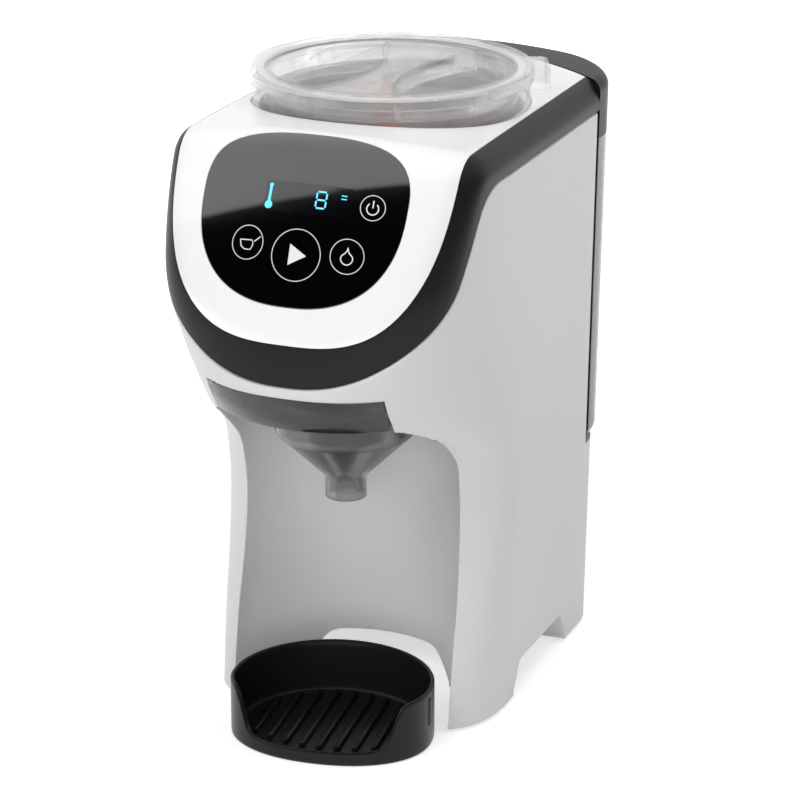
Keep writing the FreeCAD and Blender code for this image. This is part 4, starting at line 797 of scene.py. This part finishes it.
def tray_loop(inset, z):
    """Tray outline at heights z: half a flatter superellipse in front and half an ellipse behind."""
    deep = np.where(tray_s < 0, TRAY_FRONT, TRAY_REAR) - inset
    power = np.where(tray_s < 0, FRONT_POWER, 1.0)
    x = (TRAY_HALF - inset) * np.sign(tray_c) * np.abs(tray_c) ** power
    return tray_place(x, deep * np.sign(tray_s) * np.abs(tray_s) ** power, z)


tray_y = np.where(tray_s < 0, -TRAY_FRONT * np.abs(tray_s) ** FRONT_POWER, TRAY_REAR * tray_s)
rim_z = LIP_Z + RIM_RISE / (1 + np.exp(-(tray_y - RISE_Y) / RISE_RUN))
rows = [tray_loop(2.6, 0.0), tray_loop(0.9, 0.2), tray_loop(0.2, 1.0)]
rows += [tray_loop(0.0, 2.0 + (rim_z - 2.8) * k) for k in np.linspace(0, 1, 12)]
rows += [tray_loop(0.25, rim_z - 0.25), tray_loop(0.8, rim_z), tray_loop(1.5, rim_z)]
rows += [tray_loop(2.05, rim_z - 0.25)]
rows += [tray_loop(2.3, rim_z - 0.8 + (5.0 - rim_z + 0.8) * k) for k in np.linspace(0, 1, 10)]
rows += [tray_loop(2.8, 3.6), tray_loop(4.1, 2.6), tray_loop(6.0, DISH_Z)]
middles = [tray_place(0, 0, z) for z in (0, DISH_Z)]
tray = capped("drip_dish", np.array(rows), *middles)
tray_black = plastic("tray satin black", (0.010, 0.010, 0.0105), 0.3, grain=0.03, mottle=0.05, gloss=0.22)
finish(tray, "tray", tray_black, 40.0, "drip_tray")


def bead(length, width, height):
    """Rounded bar seen from above: four closed loops of width and length that narrow at the top."""
    turn = np.linspace(0, np.pi, 10)
    cap = np.stack([width / 2 * np.cos(turn), (length - width) / 2 + width / 2 * np.sin(turn)], -1)
    loop = np.concatenate([cap, cap * [-1, -1]])
    levels = [(0, 0.0), (height * 0.6, 0.0), (height * 0.9, 0.25), (height, 0.7)]
    return np.array([np.concatenate([loop * [1 - 2 * k / width, 1 - 2 * k / length],
                                     np.full((len(loop), 1), z)], -1) for z, k in levels])


def tray_beads(name, beads):
    """One piece from the beads' rows of points in the tray's frame, each closed by fans at both ends."""
    points, faces, n = [], [], beads[0].shape[1]
    for k, rows in enumerate(beads):
        first = k * (4 * n + 2)
        ends = [rows[-1].mean(0), rows[0].mean(0)]
        points.append(tray_place(*np.concatenate([rows.reshape(-1, 3), ends]).T))
        faces += quads(4, n, first=first)
        for j in range(n):
            faces += [[first + 3 * n + j, first + 3 * n + (j + 1) % n, first + 4 * n],
                      [first + (j + 1) % n, first + j, first + 4 * n + 1]]
    piece = new_piece(name, np.concatenate(points), faces)
    finish(piece, "tray", tray_black, 40.0)


dish_ribs = []
for x in (np.arange(TRAY_RIBS) - TRAY_RIBS // 2) * TRAY_RIB_STEP:
    chord = np.sqrt(1 - (x / 46.0) ** 2)
    dish_ribs.append(bead(70.0 * chord, 2.8, 2.6) + [x, 9.0 * chord, 2.4])
tray_beads("dish_ribs", dish_ribs)
# A pill-shaped finger bead stands up the outside of each side wall.
pill = bead(*PILL_SIZE)
wall_x = TRAY_HALF * np.sqrt(1 - (PILL_Y / TRAY_FRONT) ** 2)
pill_x = wall_x - 0.45 + pill[..., 2] + 0.1 * pill[..., 0]
tray_beads("tray_pills", [np.stack([side * pill_x, PILL_Y + pill[..., 0], PILL_Z + pill[..., 1]], -1)
                          for side in (1, -1)])

# ---------------------------------------------------------------- tank, its lid and small parts
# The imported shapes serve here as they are: smoked tank with white valve, black lid on a steel pin,
# feet, gland, and the drive and water parts inside. A copy with merged corners is shaded smooth.
tank_smoke = clear("tank smoke", (0.20, 0.20, 0.207), 0.15)
steel = plastic("drawn steel", (0.62, 0.63, 0.64), 0.25, metal=1.0)
black_rubber = plastic("foot rubber", (0.03, 0.03, 0.03), 0.6, grain=0.1)
pale_rubber = plastic("pale silicone", (0.74, 0.74, 0.73), 0.45)
board_green = plastic("board green", (0.05, 0.2, 0.09), 0.4, mottle=0.2)
gear_ivory = plastic("gear ivory", (0.82, 0.79, 0.7), 0.4)
motor_grey = plastic("motor can", (0.3, 0.31, 0.33), 0.35, metal=0.6)
seal_grey = plastic("seal grey", (0.72, 0.72, 0.71), 0.5)
LOOKS = {
    "touch_board": board_green, "lcd_module": inner_grey, "base_plate": inner_grey, "base_screws": steel,
    "rubber_feet": black_rubber, "cord_gland": band_black, "container_seat": inner_white,
    "container_base": inner_grey, "dosing_disc": inner_white, "powder_wiper": inner_white,
    "mixing_wheel": wheel_orange, "lid_seal": seal_grey, "powder_chute": inner_white,
    "drive_gear": gear_ivory, "drive_coupling": inner_grey, "motor_pinion": gear_ivory,
    "gearbox_case": inner_grey, "gearbox_cover": inner_grey, "dosing_motor": motor_grey,
    "inner_frame": inner_grey, "funnel_sensor": band_black, "water_nozzle": inner_white,
    "water_pump": inner_grey, "flow_heater": steel, "inlet_tube": pale_rubber,
    "heater_tube": pale_rubber, "nozzle_tube": pale_rubber, "power_board": board_green,
    "water_tank": tank_smoke, "tank_lid": band_black, "lid_hinge_pin": steel,
    "tank_valve": inner_white, "valve_guide": tank_smoke, "valve_socket": black_rubber}
MADE_SMOOTH = {"water_tank", "tank_lid", "mixing_wheel", "container_base", "dosing_disc", "cord_gland",
               "rubber_feet"}
owner = {node: body for body, nodes in frame["record"]["behaviour"]["bodies"].items() for node in nodes}
for node, material in LOOKS.items():
    cad = frame["nodes"][node]
    if node in MADE_SMOOTH:
        copy = bpy.data.objects.new(node + "_smooth", cad.data.copy())
        bpy.context.scene.collection.objects.link(copy)
        shape = bmesh.new()
        shape.from_mesh(copy.data)
        bmesh.ops.remove_doubles(shape, verts=shape.verts, dist=1e-6)
        shape.to_mesh(copy.data)
        shape.free()
        finish(copy, owner[node], material, 28.0, node)
    else:
        cad.data.materials.clear()
        cad.data.materials.append(material)

# The valve's spring is one steel wire, wound round the stem.
WIRE_R = 0.4
low, high = (np.array(corner) * 1000 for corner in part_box("valve_spring"))
wound = np.linspace(0, 10 * np.pi, 241)[:, None]
around = np.radians(np.linspace(0, 360, 9))[:-1]
coil_r = (high[0] - low[0]) / 2 - WIRE_R + WIRE_R * np.cos(around)
climb = np.linspace(low[2] + WIRE_R, high[2] - WIRE_R, len(wound))[:, None] + WIRE_R * np.sin(around)
coil_x = (low[0] + high[0]) / 2 + np.cos(wound) * coil_r
coil_y = (low[1] + high[1]) / 2 + np.sin(wound) * coil_r
spring = capped("valve_coil", np.stack([coil_x, coil_y, climb], -1))
finish(spring, "tank", steel, 40.0, "valve_spring")
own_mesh(spring)

# ---------------------------------------------------------------- floor, camera and light
# A pale floor with painted light added: it glows white for camera, glossy and transmission rays, less near
# the machine and fully away from it, where the lamps light it less. It runs into a white surround; a broad
# soft key light and two fills.
corners = [(-3000, -3000, 0), (3000, -3000, 0), (3000, 3000, 0), (-3000, 3000, 0)]
floor = new_piece("floor", corners, [[0, 1, 2, 3]])
paper = bpy.data.materials.new("paper floor")
paper.use_nodes = True
nodes, links = paper.node_tree.nodes, paper.node_tree.links
seen = nodes.new("ShaderNodeLightPath")
either, any_of = nodes.new("ShaderNodeMath"), nodes.new("ShaderNodeMath")
either.operation = any_of.operation = "MAXIMUM"
links.new(seen.outputs["Is Camera Ray"], either.inputs[0])
links.new(seen.outputs["Is Transmission Ray"], either.inputs[1])
links.new(either.outputs["Value"], any_of.inputs[0])
links.new(seen.outputs["Is Glossy Ray"], any_of.inputs[1])
# Painted light: an emission on the floor, 0.55 near the machine rising to 1.0 beyond 1.3 m, for camera,
# glossy and transmission rays only.
white = nodes.new("ShaderNodeEmission")
white.inputs["Color"].default_value = (1, 1, 1, 1)
spot, distance = nodes.new("ShaderNodeTexCoord"), nodes.new("ShaderNodeVectorMath")
painted_floor_light = nodes.new("ShaderNodeMapRange")
distance.operation = "LENGTH"
links.new(spot.outputs["Object"], distance.inputs[0])
painted_floor_light.inputs["From Min"].default_value, painted_floor_light.inputs["From Max"].default_value = 0.4, 1.3
painted_floor_light.inputs["To Min"].default_value, painted_floor_light.inputs["To Max"].default_value = 0.55, 1.0
links.new(distance.outputs["Value"], painted_floor_light.inputs["Value"])
links.new(painted_floor_light.outputs["Result"], white.inputs["Strength"])
mix, add = nodes.new("ShaderNodeMixShader"), nodes.new("ShaderNodeAddShader")
shader = nodes["Principled BSDF"]
shader.inputs["Base Color"].default_value = (0.86, 0.86, 0.86, 1)
shader.inputs["Roughness"].default_value = 0.9
links.new(shader.outputs["BSDF"], add.inputs[0])
links.new(white.outputs["Emission"], add.inputs[1])
links.new(any_of.outputs["Value"], mix.inputs["Fac"])
links.new(shader.outputs["BSDF"], mix.inputs[1])
links.new(add.outputs["Shader"], mix.inputs[2])
links.new(mix.outputs["Shader"], nodes["Material Output"].inputs["Surface"])
floor.data.materials.append(paper)

camera = bpy.data.objects.new("camera", bpy.data.cameras.new("camera"))
bpy.context.scene.collection.objects.link(camera)
back = Vector((0.35563, -0.87268, 0.33461)).normalized()
right = Vector((0.92606, 0.37738, 0.0)).normalized()
above = back.cross(right)
target, away = Vector((0.027488, -0.048566, 0.172349)), 1.61955
camera.matrix_world = Matrix((
    (right.x, above.x, back.x, target.x + back.x * away),
    (right.y, above.y, back.y, target.y + back.y * away),
    (right.z, above.z, back.z, target.z + back.z * away),
    (0, 0, 0, 1)))
camera.data.lens, camera.data.sensor_width = 144.06, 36.0
camera.data.clip_end = 20
bpy.context.scene.camera = camera

# The surround is white to the eye and through clear pieces. In gloss it is white overhead and dark
# low in front, as under a studio's ceiling cloth, whose edge gives the lens its slanting shine.
world = bpy.data.worlds.new("surround")
bpy.context.scene.world = world
world.use_nodes = True
nodes, links = world.node_tree.nodes, world.node_tree.links
sky = nodes["Background"]
sky.inputs["Color"].default_value = (1, 1, 1, 1)
path, strength = nodes.new("ShaderNodeLightPath"), nodes.new("ShaderNodeMapRange")
either = nodes.new("ShaderNodeMath")
either.operation = "MAXIMUM"
links.new(path.outputs["Is Camera Ray"], either.inputs[0])
links.new(path.outputs["Is Transmission Ray"], either.inputs[1])
strength.inputs["To Min"].default_value = 0.33
strength.inputs["To Max"].default_value = 1.0
links.new(either.outputs["Value"], strength.inputs["Value"])
way, height = nodes.new("ShaderNodeTexCoord"), nodes.new("ShaderNodeVectorMath")
cloth = nodes.new("ShaderNodeMapRange")
height.operation = "DOT_PRODUCT"
height.inputs[1].default_value = (-0.226, 0.468, 0.855)
links.new(way.outputs["Generated"], height.inputs[0])
cloth.inputs["From Min"].default_value = 0.222
cloth.inputs["From Max"].default_value = 0.238
links.new(height.outputs["Value"], cloth.inputs["Value"])
choice = nodes.new("ShaderNodeMix")
choice.data_type = "FLOAT"
links.new(path.outputs["Is Glossy Ray"], choice.inputs[0])
links.new(strength.outputs["Result"], choice.inputs[2])
links.new(cloth.outputs["Result"], choice.inputs[3])
links.new(choice.outputs[0], sky.inputs["Strength"])


def lamp(name, place, aim, size, power):
    """Soft rectangular lamp that faces a point and isn't seen in gloss."""
    light = bpy.data.lights.new(name, "AREA")
    light.shape, light.size, light.size_y, light.energy = "RECTANGLE", size[0], size[1], power
    holder = bpy.data.objects.new(name, light)
    bpy.context.scene.collection.objects.link(holder)
    facing = (Vector(aim) - Vector(place)).to_track_quat("-Z", "Y").to_matrix().to_4x4()
    holder.matrix_world = Matrix.Translation(place) @ facing
    holder.visible_glossy = False


lamp("key", (-0.9, -1.6, 1.9), (0, 0, 0.15), (1.4, 1.4), 20)
lamp("top", (0.3, 0.5, 2.2), (0, 0, 0.2), (1.6, 1.2), 16)
lamp("front", (0.6, -2.2, 0.5), (0, 0, 0.15), (1.4, 1.2), 16)
bpy.context.scene.view_settings.view_transform = "Standard"
